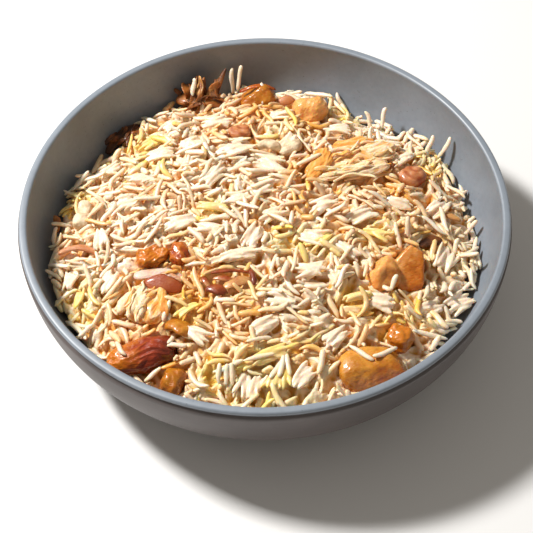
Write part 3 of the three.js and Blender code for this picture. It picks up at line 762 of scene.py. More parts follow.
def bowl_profile():
    """Half outline of the bowl from its underside to its inner floor, and 1 where its outer glaze shows."""
    underside = BOWL_HEIGHT - OUTER_WALL["depth"]
    groove = BOWL_HEIGHT - GROOVE_DEPTH
    outer = wall_points(OUTER_WALL, groove - 0.3, 46)[::-1]
    outer = outer[outer[:, 0] > FOOT["outside"] + 0.5]
    edge = FOOT["round"]
    foot_inside = arc((FOOT["inside"] + FOOT_INSET, edge), edge, 200, 270, 5)
    foot_outside = arc((FOOT["outside"] - FOOT_INSET, edge), edge, 270, 350, 6)
    lip_outside = arc((LIP_RADIUS - LIP_ROUND, BOWL_HEIGHT - 1.3), LIP_ROUND, -35, 80, 11)
    lip_inside = arc((INNER_WALL["mouth"] + 1.15, BOWL_HEIGHT - 1.45), LIP_INNER_ROUND, 98, 165, 7)
    below = np.concatenate([
        [(0.01, underside), (FOOT["inside"] - 4, underside), (FOOT["inside"], underside - 0.4)],
        foot_inside,
        foot_outside,
        [(FOOT["outside"], underside - 0.6), (FOOT["outside"] + 0.3, underside + 0.1)],
        outer,
        [(LIP_RADIUS - 0.35, groove), (LIP_RADIUS - 0.4, groove + 0.3)],
    ])
    above = np.concatenate([
        lip_outside,
        lip_inside,
        wall_points(INNER_WALL, BOWL_HEIGHT - 2.2, 48),
        [(0.01, BOWL_HEIGHT - INNER_WALL["depth"])],
    ])
    return np.concatenate([below, above]), np.concatenate([np.ones(len(below)), np.zeros(len(above))])


def lathed(profile, segments):
    """Points and triangles of a profile turned about Z."""
    turn = 2 * math.pi * np.arange(segments) / segments
    points = np.stack([
        profile[:, None, 0] * np.cos(turn),
        profile[:, None, 0] * np.sin(turn),
        np.repeat(profile[:, None, 1], segments, 1),
    ], 2).reshape(-1, 3)
    side = np.arange(segments)
    after = (side + 1) % segments
    faces = []
    for row in range(len(profile) - 1):
        low = row * segments
        high = low + segments
        faces.append(np.stack([low + side, low + after, high + after], 1))
        faces.append(np.stack([low + side, high + after, high + side], 1))
    return points, np.concatenate(faces)


# Heap
def heap_height(x, y):
    """The heap without its lumps: flat in the middle, steeper towards the wall."""
    knots, heights = zip(*WALL_LINE)
    edge = np.interp(np.degrees(np.arctan2(y, x)), knots, heights)
    reach = np.minimum(1, np.hypot(x, y) / wall_radius(INNER_WALL, edge))
    return edge + (HEAP_TOP - edge) * (1 - reach ** HEAP_POWER)


def rice_height(x, y):
    """The heap with its broad lumps."""
    broad = np.sin(x / (2 * LUMP_SPAN) + 1.3) * np.sin(y / (1.8 * LUMP_SPAN) + 0.4)
    small = np.sin(x / LUMP_SPAN - y / (1.4 * LUMP_SPAN) + 2) * np.sin(y / LUMP_SPAN + x / 31)
    return heap_height(x, y) + LUMP_HEIGHT * (broad + 0.6 * small)


def patches(x, y, size, seed):
    """Smooth noise from -1 to 1 over x, y, in patches of about that size."""
    spots = np.stack([x.ravel() / size, y.ravel() / size, np.full(x.size, float(seed))], 1)
    return 2 * np.array([noise.noise(Vector(spot)) for spot in spots]).reshape(x.shape)


def core_height(x, y, depth):
    """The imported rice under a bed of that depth, with grain-sized bumps."""
    bumps = np.sin(1.9 * x + 0.7 * y) * np.sin(2.3 * y - 0.9 * x + 1) + np.sin(0.8 * x - 1.4 * y)
    return rice_height(x, y) - depth + 0.3 * bumps


def core_shape(pile, depth):
    """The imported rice: the pile's own relief out to the wall, then the wall's curve down to the floor."""
    turn = 2 * math.pi * np.arange(CORE_SEGMENTS) / CORE_SEGMENTS
    edge = heap_height(CORE_REACH * np.cos(turn), CORE_REACH * np.sin(turn)) - depth
    rim = wall_radius(INNER_WALL, edge) - WALL_GAP
    rings = []
    for share in np.linspace(0.004, 1, CORE_RINGS):
        x = share * rim * np.cos(turn)
        y = share * rim * np.sin(turn)
        rings.append(np.stack([x, y, pile.at(pile.pressed, x, y)], 1))
    edge = rings[-1][:, 2]
    floor = BOWL_HEIGHT - INNER_WALL["depth"] + WALL_GAP
    for share in CORE_WALL_RINGS:
        z = floor + (edge - floor) * share
        radius = np.minimum(wall_radius(INNER_WALL, z) - WALL_GAP, rim)
        rings.append(np.stack([radius * np.cos(turn), radius * np.sin(turn), z], 1))
    rings.append(np.stack([np.cos(turn), np.sin(turn), np.full(CORE_SEGMENTS, floor)], 1))
    tips = np.array([[0, 0, rings[0][:, 2].mean()], [0, 0, floor]])
    points = np.concatenate([np.concatenate(rings), tips])
    return points, tube_faces(len(rings), CORE_SEGMENTS)[:, ::-1]


def stain_at(places, x, y):
    """How strongly a set of stained places reaches x, y."""
    total = np.zeros(np.shape(x))
    for spot_x, spot_y, spread, strength in places:
        away = ((x - spot_x) ** 2 + (y - spot_y) ** 2) / (2 * spread ** 2)
        total += strength * np.exp(-away)
    return total


def stains(points):
    """How yellow and how soaked in gravy the rice is at each point, from 0 to 1."""
    return {
        "yellow": np.clip(SAFFRON_STRENGTH * stain_at(SAFFRON_PLACES, points[:, 0], points[:, 1]), 0, 1),
        "soaked": np.clip(GRAVY_STRENGTH * stain_at(GRAVY_PLACES, points[:, 0], points[:, 1]), 0, 1),
    }


def softened(heights, times):
    """A grid of heights, each cell blended with its neighbours."""
    for _ in range(times):
        for axis in (0, 1):
            heights = (np.roll(heights, 1, axis) + 2 * heights + np.roll(heights, -1, axis)) / 4
    return heights


class Pile:
    """The height of all that has been laid so far, on a square grid over the bowl."""

    def __init__(self, depth):
        self.count = int(2 * PILE_REACH / PILE_CELL) + 1
        axis = np.linspace(-PILE_REACH, PILE_REACH, self.count)
        self.x, self.y = np.meshgrid(axis, axis, indexing="ij")
        radius = np.hypot(self.x, self.y)
        wall = wall_height(INNER_WALL, radius) + WALL_GAP
        wall[radius > INNER_WALL["mouth"]] = 2 * BOWL_HEIGHT
        self.target = rice_height(self.x, self.y)
        self.top = np.maximum(core_height(self.x, self.y, depth), wall)
        self.rice = self.top.copy()
        self.bare = np.ones_like(self.top)
        self.stuck = np.clip(0.55 + 0.9 * patches(self.x, self.y, 8.5, 3), 0, 1)

    def cell(self, x, y):
        """The column and row of the cell over x, y."""
        column = np.clip(np.rint((x + PILE_REACH) / PILE_CELL).astype(int), 0, self.count - 1)
        row = np.clip(np.rint((y + PILE_REACH) / PILE_CELL).astype(int), 0, self.count - 1)
        return column, row

    def heave(self, height):
        """Adds low mounds to the target, away from the toppings."""
        mounds = height * (patches(self.x, self.y, 9, 7) + 0.5 * patches(self.x, self.y, 4.5, 8))
        self.target += softened(np.where(self.bare < 1, np.minimum(mounds, -0.2), mounds), 10)

    def press(self, packed, below, stick):
        """Fills the gaps with pressed rice: below the grains' backs, or over them where they stick. Also
        marks its hollows for painted shade.
        """
        broad = softened(self.rice, 6)
        relief = (0.5 + 0.15 * self.stuck) * (softened(self.rice, 1) - broad)
        shift = stick * self.stuck - below * (1 - self.stuck)
        self.pressed = np.maximum(packed, broad + relief + shift)
        # painted shade: how far each place lies below its softened surroundings, less where the rice sticks
        dip = softened(self.pressed, 14) - self.pressed
        self.hollow = np.clip(0.42 + dip / 1.1 - 0.35 * self.stuck, 0, 1)

    def at(self, grid, x, y):
        """The value of one of the pile's grids at any x, y."""
        along, up = (np.asarray(place) + PILE_REACH for place in (x, y))
        column, row = (np.floor(way / PILE_CELL).astype(int) for way in (along, up))
        right, over = along / PILE_CELL - column, up / PILE_CELL - row
        near = grid[column, row] * (1 - right) + grid[column + 1, row] * right
        far = grid[column, row + 1] * (1 - right) + grid[column + 1, row + 1] * right
        return near * (1 - over) + far * over

    def bury(self, piece, share):
        """Adds a topping to the pile. Share is how much of it the grains may cover."""
        points = np.array([corner.co for corner in piece.data.vertices]) / MM
        faces = [tuple(face.vertices) for face in piece.data.polygons]
        tree = BVHTree.FromPolygons(points.tolist(), faces)
        low = self.cell(*points.min(0)[:2])
        high = self.cell(*points.max(0)[:2])
        down = Vector((0, 0, -1))
        for column in range(low[0], high[0] + 1):
            for row in range(low[1], high[1] + 1):
                spot = Vector((self.x[column, row], self.y[column, row], 2 * BOWL_HEIGHT))
                hit = tree.ray_cast(spot, down)[0]
                if hit and hit.z > self.top[column, row]:
                    self.top[column, row] = hit.z
                    if hit.z > self.target[column, row] - 0.8:
                        self.bare[column, row] = share

    def rest(self, x, y, heading, size, width):
        """The lowest steady place of a grain centred over x, y: its height there, and its slope."""
        steps = np.linspace(-0.46, 0.46, 11) * size
        sides = np.array([-0.35, 0, 0.35])[:, None] * width
        across = steps * math.cos(heading) - sides * math.sin(heading)
        up = steps * math.sin(heading) + sides * math.cos(heading)
        cells = self.cell(x + across, y + up)
        sag = width / 2 * (1 - math.sqrt(1 - 0.7 ** 2)) * (sides != 0)
        under = (self.top[cells] - sag).max(0)
        left, right = steps[:5, None], steps[None, 6:]
        slopes = (under[None, 6:] - under[:5, None]) / (right - left)
        heights = under[:5, None] - slopes * left
        best = np.unravel_index(heights.argmax(), heights.shape)
        height, slope = heights[best], slopes[best]
        if under[5] > height:
            height = under[5]
            least = ((under[6:] - height) / steps[6:]).max()
            most = ((under[:5] - height) / steps[:5]).min()
            slope = (least + most) / 2
        return height, slope, self.bare[cells].min(0)

    def cover(self, x, y, z, heading, slope, size, width):
        """Raises the pile to the back of a grain that lies at x, y, z."""
        half = size / 2 + width
        low = self.cell(x - half, y - half)
        high = self.cell(x + half, y + half)
        patch = (slice(low[0], high[0] + 1), slice(low[1], high[1] + 1))
        dx = self.x[patch] - x
        dy = self.y[patch] - y
        foreshortened = math.cos(math.atan(slope))
        along = (dx * math.cos(heading) + dy * math.sin(heading)) / foreshortened
        across = dy * math.cos(heading) - dx * math.sin(heading)
        girth = width / 2 * np.clip(1 - np.abs(2 * along / size) ** 2.6, 0, 1) ** 0.5
        inside = np.abs(across) < girth
        back = z + slope * along * foreshortened + np.sqrt(np.maximum(0, girth ** 2 - across ** 2))
        for heights in (self.top, self.rice):
            heights[patch] = np.where(inside, np.maximum(heights[patch], back), heights[patch])


class Grains:
    """Rice grains laid one after another on a pile."""

    def __init__(self, pile, rice, random):
        self.pile = pile
        self.length = rice.grain_length / MM
        self.width = rice.grain_width / MM
        self.random = random
        self.laid = []

    def keep(self, x, y, z, heading, slope, size, width, clean=0):
        """Adds a grain where it lies. Clean grains take no stain."""
        self.pile.cover(x, y, z, heading, slope, size, width)
        depth = float(self.pile.target[self.pile.cell(x, y)] - z)
        self.laid.append((x, y, z, heading, math.atan(slope), size, width, depth, clean))

    def inside(self, x, y, z, heading, slope, size, width):
        """Whether both ends stay clear of the wall and below the rim."""
        for way in (-0.5, 0.5):
            end_z = z + way * size * math.sin(math.atan(slope))
            run = way * size * math.cos(math.atan(slope))
            reach = math.hypot(x + run * math.cos(heading), y + run * math.sin(heading))
            if end_z > BOWL_HEIGHT - RIM_ROOM or reach > wall_radius(INNER_WALL, end_z) - 0.35 * width:
                return False
        return True

    def lay(self, x, y, heading, size, width, highest, jam):
        """Lays a grain to rest, then jams one end into the pile, unless it would lie badly."""
        height, slope, bare = self.pile.rest(x, y, heading, size, width)
        if np.sort(bare)[3] < self.random.random() or abs(slope) > STEEPEST:
            return
        jammed = self.random.normal(0, jam)
        slope += jammed
        z = height + width / 2 - SINK + 0.1 * size * abs(jammed)
        low_enough = z <= self.pile.target[self.pile.cell(x, y)] + highest
        if low_enough and self.inside(x, y, z, heading, slope, size, width):
            self.keep(x, y, z, heading, slope, size, width)

    def size(self):
        """A random length and width: a few grains are broken short."""
        if self.random.random() < BROKEN_SHARE:
            size = self.length * self.random.uniform(0.35, 0.7)
        else:
            size = self.length * np.clip(self.random.normal(1, 0.16), 0.65, 1.35)
        return size, self.width * np.clip(self.random.normal(1, 0.17), 0.65, 1.45)

    def clump(self, x, y, highest):
        """Lays a few grains side by side."""
        heading = self.random.normal(0.45, 0.8)
        count = 1 + (self.random.integers(2, 6) if self.random.random() < 0.4 else 0)
        for number in range(count):
            size, width = self.size()
            aside = (number - (count - 1) / 2) * width * 0.85
            shift = self.random.normal(0, 1.6) if number else 0
            spot_x = x - aside * math.sin(heading) + shift * math.cos(heading)
            spot_y = y + aside * math.cos(heading) + shift * math.sin(heading)
            turn = heading + self.random.normal(0, 0.16 if count > 1 else 0.8)
            self.lay(spot_x, spot_y, turn, size, width, highest, BED_JAM)

    def fill(self, below):
        """Fills the deepest places first, until the bed is level, so far below its target."""
        columns, rows = np.nonzero(self.pile.target - below - self.pile.top > PILE_ROOM)
        misses = 0
        while misses < PATIENCE:
            picks = self.random.integers(0, len(columns), 12)
            spots = (columns[picks], rows[picks])
            gaps = self.pile.target[spots] - below - self.pile.top[spots]
            best = gaps.argmax()
            if gaps[best] < LEAST_GAP:
                misses += 1
                continue
            before = len(self.laid)
            self.clump(self.pile.x[spots][best], self.pile.y[spots][best], BED_RISE - below)
            misses += 0.3 if len(self.laid) == before else 0

    def strew(self, count, shrink=1.0):
        """Loose grains on top, or crumbs where shrunk."""
        for _ in range(count):
            reach = STREW_REACH * math.sqrt(self.random.random())
            turn = 2 * math.pi * self.random.random()
            size, width = self.size()
            heading = self.random.uniform(0, math.pi)
            x, y = reach * math.cos(turn), reach * math.sin(turn)
            self.lay(x, y, heading, size * shrink, width * shrink ** 0.25, LOOSE_RISE, LOOSE_JAM)

    def stand(self, x, y, heading, rise, size):
        """A grain that stands out, from its foot."""
        heading = math.radians(heading)
        slope = math.tan(math.radians(rise))
        run = size / 2 * math.cos(math.atan(slope))
        foot = float(self.pile.top[self.pile.cell(x, y)]) + 0.2
        z = foot + size / 2 * math.sin(math.atan(slope))
        middle = (x + run * math.cos(heading), y + run * math.sin(heading))
        if self.inside(*middle, z, heading, slope, size, self.width):
            self.keep(*middle, z, heading, slope, size, self.width, 1)

    def settle(self, x, y, heading, rise, size):
        """A grain that lies across the others, from its foot."""
        heading = math.radians(heading)
        run = size / 2 * math.cos(math.radians(rise))
        x += run * math.cos(heading)
        y += run * math.sin(heading)
        height, slope, _ = self.pile.rest(x, y, heading, size, self.width)
        slope = float(np.clip(slope, -0.6, 0.6))
        z = height + self.width / 2 - SINK
        if self.inside(x, y, z, heading, slope, size, self.width):
            self.keep(x, y, z, heading, slope, size, self.width, 1)


def grain_shapes(grains, random):
    """Points and triangles of many bent and tapered grains, and how far under its grain each point is."""
    x, y, z, heading, rise, size, width, _, clean = grains.T[:, :, None]
    count = len(grains)
    stations = GRAIN_STATIONS[None, :]
    bend = random.normal(0, 0.065, (count, 1)) * size * np.where(random.random((count, 1)) < 0.14, 2.6, 1)
    bend *= 1 - 0.6 * clean
    wave = random.normal(0, 0.028, (count, 1)) * size
    roll = random.uniform(-0.7, 0.7, (count, 1))
    way = np.stack([np.cos(heading) * np.cos(rise), np.sin(heading) * np.cos(rise), np.sin(rise)], -1)
    aside = np.stack([-np.sin(heading), np.cos(heading), 0 * heading], -1)
    over = np.cross(way, aside)
    out = aside * np.cos(roll)[..., None] + over * np.sin(roll)[..., None]
    centre = np.stack([x, y, z], -1) + way * (stations * size / 2)[..., None]
    centre = centre + out * (bend * (0.5 - stations ** 2) + wave * np.sin(math.pi * stations))[..., None]
    blunt = np.stack([random.uniform(1.8, 5, count), random.uniform(3, 8, count)], 1)
    blunt = blunt[:, (GRAIN_STATIONS > 0).astype(int)]
    girth = width / 2 * np.clip(1 - np.abs(stations) ** blunt, 0.09, 1) ** 0.5
    girth = girth * (1 + random.normal(0, 0.07, (count, len(GRAIN_STATIONS))))
    angle = 2 * math.pi * np.arange(GRAIN_SIDES) / GRAIN_SIDES
    flat = random.uniform(0.62, 0.95, (count, 1, 1, 1))
    around = aside[:, :, None] * np.cos(angle)[None, None, :, None]
    around = around + over[:, :, None] * np.sin(angle)[None, None, :, None] * flat
    rings = centre[:, :, None] + girth[:, :, None, None] * around
    ends = np.stack([-size / 2, size / 2], 1) * random.uniform(0.97, 1.02, (count, 2, 1))
    tips = np.stack([x, y, z], -1) + way * ends - out * 0.5 * bend[..., None]
    points = np.concatenate([rings.reshape(count, -1, 3), tips], 1)
    stride = points.shape[1]
    # how far down each point lies on its grain, for painted shade on the underside
    under = ((centre[:, :, None, 2] - rings[..., 2]) / (width / 2)[:, :, None]).reshape(count, -1)
    under = np.clip(np.concatenate([under, np.zeros((count, 2))], 1) + 0.35, 0, 1)
    faces = tube_faces(len(GRAIN_STATIONS), GRAIN_SIDES)[:, ::-1]
    faces = (np.arange(count)[:, None, None] * stride + faces[None]).reshape(-1, 3)
    return points.reshape(-1, 3), faces, under.ravel()


# Toppings: sizes in millimetres and turns in degrees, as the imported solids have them
def band(x, y, lift, heading, length, width, thick, **rest):
    """What strip takes: the place, the turn and the size, and then its bends."""
    return dict(x=x, y=y, lift=lift, heading=heading, length=length, width=width, thick=thick, **rest)


def block(x, y, lift, size, **rest):
    """What chunk takes: the place and the size, and then its turn, cuts and skin."""
    return dict(x=x, y=y, lift=lift, size=size, **rest)


CHICKEN_RIGHT = [
    block(
        51.2, -29.2, 0.9, (7.8, 8, 6.6), heading=8, rough=0.05, phase=0.4,
        cuts=[(0.1, -0.8, 0.6, 5.9), (-0.62, 0.52, 0.58, 4), (-0.7, -0.45, 0.5, 5.8)],
    ),
    block(
        63.8, -24.8, 1.3, (6.6, 10.6, 11), power=5, rough=0.01, phase=1.2, crisp=22,
        cuts=[(0, -0.6, 0.8, 5.8), (-0.72, 0.556, 0.417, 6.65), (0.55, 0.668, 0.501, 9.2)],
    ),
]
CHUNKS = {
    "chicken_front": block(
        45.6, -75.6, 1.5, (14.6, 9.6, 7.2), heading=6, power=3.4, rough=0.04, phase=2.1,
        cuts=[(-0.05, -0.72, 0.7, 7.2), (0.75, 0.3, 0.6, 10.5)],
    ),
    "chicken_front_small": block(57.7, -59.6, 0.8, (5.6, 5, 4.6), heading=-30, rough=0.08, phase=3.3),
    "chicken_front_left": block(-39.8, -80.4, 1.4, (6.4, 4.8, 5), heading=70, rough=0.07, phase=5.1),
    "chicken_back": block(
        -2.4, 86, 2.5, (9.4, 6.4, 7.4), heading=4, power=2.7, rough=0.04, phase=0.9,
        cuts=[(-0.2, -0.7, 0.7, 5.6), (-0.6, 0.3, 0.74, 5.2), (0.75, 0.3, 0.5, 8)],
    ),
    "chicken_back_right": block(
        23.2, 77, 2.2, (8, 7.2, 6.8), heading=30, power=3, rough=0.05, phase=2.7,
        cuts=[(-0.5, -0.6, 0.6, 6.2), (0.3, 0.75, 0.6, 5.6)],
    ),
    "chicken_left_large": block(-50.5, -19.5, 0.4, (7.2, 3.9, 3.6), heading=6, rough=0.08, phase=3.9),
    "chicken_left_small": block(-38.8, -18.8, 0.3, (5.2, 4.1, 3.6), heading=80, rough=0.08, phase=4.6),
}
# Skin, shade, painted light and shade as a change of the shade along X, Y and Z (lighter towards the lit
# left and back and towards the top), and the height of the lumps
CHUNK_LOOKS = {
    "chicken_front": ("chicken_golden", 0.42, (-0.25, 0.4, 0.15), 0.3),
    "chicken_front_small": ("chicken_sticky", 0.5, (0, 0, 0.1), 0.9),
    "chicken_front_left": ("chicken_golden", 0.28, (0, 0, 0.1), 0.6),
    "chicken_back": ("chicken_golden", 0.38, (0, 0, 0), 0.35),
    "chicken_back_right": ("chicken_spiced", 0.92, (0, 0, 0.1), 0.6),
    "chicken_left_large": ("chicken_sticky", 0.34, (-0.15, 0, 0.1), 1.5),
    "chicken_left_small": ("chicken_sticky", 0.12, (0, 0, 0), 1.4),
}
CHICKEN_RIND = band(-2.4, 87.4, 6.7, 4, 18, 2.6, 1.2, arch=3.4)
CHICKEN_SLIVER = band(-37.5, -57.2, 0.7, -28, 12, 8.5, 3.4, arch=1.6, roll=-18)
CHICKEN_DARK = block(
    -52.8, -67.6, 1.2, (16.6, 7.2, 6.4), heading=15, tilt=-3, power=2.2, rough=0.04, phase=4,
    cuts=[(0.85, -0.2, 0.4, 12.6)],
)
# Turn of the fibres, shade, how the flake is made and its sizes
TORN_FLAKES = {
    "chicken_shreds_right": [
        (6, 0.35, chunk, block(40, 36.5, -0.6, (19, 10.5, 4), heading=6, power=2.3, rough=0.07, phase=1.5)),
        (24, 0.55, strip, band(51.5, 43, 2, 24, 22, 10, 4.4, arch=1.6, curl=-12)),
        (12, 0.62, strip, band(42.5, 28.5, 2, 11, 31, 7.5, 3.6, arch=1, curl=10)),
        (10, 0.12, strip, band(43, 49.5, 2.4, 10, 20, 6.5, 3, arch=1.2, curl=-15)),
        (60, 0.0, strip, band(26, 33, 2, 62, 19, 9, 3.4, arch=1, curl=20)),
    ],
    "chicken_shreds_left": [
        (-120, 0.30, chunk, block(-51.5, -43.5, -0.4, (9.4, 9, 3.4), heading=-115, power=2.4)),
        (-125, 0.80, strip, band(-60.5, -40.5, 1, -128, 15, 4.4, 2.4, arch=1, curl=25)),
        (-112, 0.95, strip, band(-57, -42.5, 2, -112, 18, 3.4, 2.2, arch=1.4, curl=20)),
        (-100, 0.60, strip, band(-53.4, -43.4, 2.2, -98, 15, 3, 2.2, arch=1.2)),
        (-80, 0.05, strip, band(-44.8, -43.6, 1.4, -78, 13, 3.6, 3, arch=1)),
    ],
}
TORN_FIBRES = {
    "chicken_shreds_right": [
        dict(
            x=46, y=41, spread=(13, 8), lift=4.4, count=26, seed=40, headings=(0, 40), lengths=(9, 22),
            widths=(1.1, 2.2), rises=(-3, 6), tones=(0.6, 1), thick=1,
        ),
        dict(
            x=40, y=27.5, spread=(16, 3), lift=4, count=14, seed=41, headings=(-6, 28), lengths=(10, 24),
            widths=(1.1, 2.2), rises=(-3, 6), tones=(0.7, 1), thick=1,
        ),
        dict(
            x=55.5, y=49, spread=(1, 1), lift=3.6, count=2, seed=42, headings=(-40, -10), lengths=(12, 14),
            widths=(1, 1.4), rises=(0, 2), tones=(0, 0), thick=1,
        ),
    ],
    "chicken_shreds_left": [
        dict(
            x=-55, y=-42, spread=(6, 6), lift=3.8, count=14, seed=43, headings=(-130, -80), lengths=(7, 15),
            widths=(1, 2), rises=(-3, 6), tones=(0.6, 1), thick=0.9,
        ),
    ],
}
SOFT_ROUNDS = {
    "onion_round_back": block(-11.5, 57, 0.3, (5.2, 3.9, 3.3), heading=8, rough=0.05, phase=1.8),
    "onion_round": block(70, 30.5, 0.9, (6.6, 5.4, 4.4), heading=20, power=2.5, rough=0.04, phase=2.2),
}
SOFT_STRIPS = {
    "onion_slice_left": [
        band(-47.5, -29.6, 1.1, -2, 21, 5.4, 1.3, arch=1.2, curl=-18, roll=8, tone=0.95),
        band(-45, -34.6, 1, -10, 16, 8, 1.8, arch=1, curl=-24, roll=22, tone=0.0),
        band(-41.5, -31.4, 1.7, -22, 11, 2.4, 1, arch=1, curl=-30, tone=0.6),
    ],
    "onion_strand_left": [
        band(-84.5, -9.5, 1.4, -2, 19, 3.4, 1.8, arch=1, curl=-75),
    ],
    "onion_back": [
        band(10.5, 84, 2.2, 8, 10, 4.6, 1.8, arch=0.8, curl=-40, pitch=10, roll=30),
    ],
}
FRIED_STRIPS = {
    "fried_onion_centre": [
        band(-12.5, -36.5, 1.1, 22, 12, 5, 1.2, arch=1.2, curl=14, tone=0.95),
        band(-18, -34.4, 1.2, -12, 10, 3, 1.2, arch=1, curl=-20, tone=0.75),
        band(-15.2, -30.8, 1.9, 0, 17, 1.7, 1.1, arch=0.7, curl=-20, tone=0.35),
        band(-5.4, -34, 1.8, -78, 8, 2.6, 1.5, arch=0.6, curl=-30, tone=0.2),
        band(-21.6, -40, 1.5, -14, 9, 5.4, 2.2, arch=1, tone=0.22),
        band(-26.4, -35.6, 1.6, -64, 9, 2.6, 1.2, arch=1, curl=25, tone=0.5),
    ],
    "fried_onion_back": [
        band(
            -37, 88, 5, 112, 15, 6, 0.8, arch=1, curl=40, pitch=44, roll=25, ripple=0.8, twist=50, tone=0.35,
        ),
        band(
            -31.5, 88.5, 6, 88, 17, 5.4, 0.7, arch=1.8, curl=-25, pitch=50, roll=-30, ripple=0.9, twist=-70,
            tone=0.75,
        ),
        band(
            -26, 88, 4.4, 60, 15, 4.4, 0.8, arch=1.4, curl=-45, pitch=42, roll=20, ripple=0.8, twist=60,
            tone=0.5,
        ),
        band(-31.5, 86.5, 1.2, -6, 23, 9, 3.4, arch=2, curl=16, tone=0.45),
        band(-22, 93, 7, 66, 19, 2.6, 1, arch=0.8, curl=-24, pitch=44, tone=0.3),
        band(-25, 91.5, 5.4, 72, 14, 2, 0.8, arch=1.4, curl=-70, pitch=36, tone=0.5),
        band(-40.5, 89, 3.4, 118, 13, 2.6, 0.9, arch=1, curl=50, pitch=24, tone=0.4),
    ],
    "fried_onion_left": [
        band(-70, 66, 1.2, 50, 22, 6.4, 1.8, arch=1.2, curl=-20, pitch=6, roll=-20, cup=0.3, tone=0.05),
    ],
    "fried_onion_right": [
        band(75, -7.5, -0.2, 12, 11, 6, 2.2, arch=0.6, tone=0.1),
    ],
    "onion_curl": [
        band(-96.5, 9, 1.8, 98, 9, 3.2, 1.8, arch=0.8, curl=60, pitch=10, tone=0.35),
    ],
    "onion_strand_right": [
        band(84, 8.5, 1.5, -14, 14, 3, 1.9, arch=1, curl=-35, tone=0.9),
    ],
}
TANGLES = {
    # tones set low: brown fried onion, darkened further as a painted shadow of the bowl's wall
    "fried_onion_back": [
        dict(
            x=-31.5, y=89, spread=(9, 3), lift=4.6, count=15, seed=3, headings=(62, 128), lengths=(9, 15),
            widths=(1.5, 3.4), rises=(14, 50), tones=(0, 0.5),
        ),
        dict(
            x=-31, y=85, spread=(10, 3), lift=3.4, count=9, seed=8, headings=(-50, 50), lengths=(8, 13),
            widths=(1.4, 2.6), rises=(-6, 16), tones=(0.05, 0.55),
        ),
    ],
    "fried_onion_left": [
        dict(
            x=-70, y=66, spread=(9, 3), lift=2.4, count=9, seed=5, headings=(20, 80), lengths=(8, 14),
            widths=(1.4, 2.8), rises=(-4, 24), tones=(0, 0.35),
        ),
    ],
}
NUTS = {
    "nut_left": band(2.7, 46.2, 1.5, -8, 10, 5.2, 4.2, arch=0.8, curl=-75, roll=-12),
    "nut_right": band(13.6, 44.2, 1.5, 42, 11, 5.4, 4.2, arch=0.8, curl=55, roll=14),
}
BONE_LOBES = [
    block(-84.6, 7.5, 1.3, (4, 3.8, 3.2), rough=0.08, phase=0.7),
    block(-83.8, 15, 1, (3.4, 5, 3), rough=0.06, phase=2.9),
]

# Clumps of rice that stick together: x, y and heading, then length and width
MATTED = {
    "pale": [
        (-17, -22.5, 9, 38, 4.5), (-14, 44, 20, 20, 9), (3, 33, -25, 18, 8), (-24, 27, 50, 16, 7),
        (12, 48, 70, 14, 7), (-50, 45, 10, 17, 6), (-64, 14, 30, 18, 6), (-70, -30, 75, 14, 6),
        (22, -12, -10, 16, 8), (4, 2, 35, 15, 6), (8, -45, -5, 18, 7), (30, -62, 40, 14, 6),
        (86, -38, 30, 14, 7), (66, 42, 30, 12, 5), (-8, -84, 75, 12, 10), (-30, -60, -30, 14, 6),
        (44, 2, 20, 16, 6), (50, -44, -20, 15, 6), (-38, -2, 10, 18, 6), (8, 72, 15, 14, 5),
        (-45, 68, 40, 14, 5), (-75, -6, 100, 13, 6), (-58, 30, -10, 15, 6), (-35, 50, 30, 15, 6),
        (-88, -26, 80, 12, 5), (0, 18, 15, 16, 6), (27, 8, 25, 15, 6), (62, 12, -20, 14, 6),
        (80, 12, 50, 14, 6), (20, -30, 10, 16, 6), (37, -18, -35, 14, 5), (-2, -58, 30, 15, 6),
        (15, -80, 50, 12, 6), (72, -44, 25, 12, 6), (-25, -6, -20, 15, 6), (-22, 66, 0, 15, 5),
        (-6, -11, 60, 14, 6), (36, 64, 0, 14, 5), (-74, 42, 40, 14, 6), (-12, 12, 0, 15, 6),
        (82, -16, 60, 16, 8),
    ],
    "saffron": [
        (-4, -73, 19, 40, 4.5), (24, -14, 40, 10, 5), (-56, 55, 30, 12, 4), (40, -42, 10, 10, 3),
        (5, -81, 80, 14, 8), (-34, -48, 40, 9, 3), (51, -8, -20, 10, 3), (-83, -36, 80, 12, 3),
        (84, 64, 40, 10, 4), (-24, 7, 10, 9, 3),
    ],
}
# How much of a piece the grains may cover
COVERED = {
    "chicken_shreds_left_fibres": 0.2,
    "chicken_shreds_right_fibres": 0.2,
    "onion_slice_left_strips": 0.12,
}
CLUMPS_COVERED = 0.4
REST_COVERED = 0.05


def matted(x, y, heading, length, width, seed):
    """Cooked grains that lie side by side, for a clump of rice that sticks together."""
    random = np.random.default_rng(seed)
    turn = math.radians(heading)
    count = max(4, round(length * width / 11))
    shapes = []
    for number in range(count):
        along = random.uniform(-0.5, 0.5) * (length - 11)
        aside = width * ((number * 0.62) % 1 - 0.5)
        shapes.append(strip(
            x=x + along * math.cos(turn) - aside * math.sin(turn),
            y=y + along * math.sin(turn) + aside * math.cos(turn),
            lift=random.uniform(0.6, 2.2), heading=heading + random.normal(0, 11),
            length=random.uniform(9, 14), width=random.uniform(1.6, 2.2), thick=random.uniform(1.4, 1.9),
            arch=random.uniform(0.2, 1.2), curl=random.normal(0, 22), pitch=random.normal(0, 6),
            phase=random.uniform(0, 6), rings=12, sides=8,
        ))
    return shapes


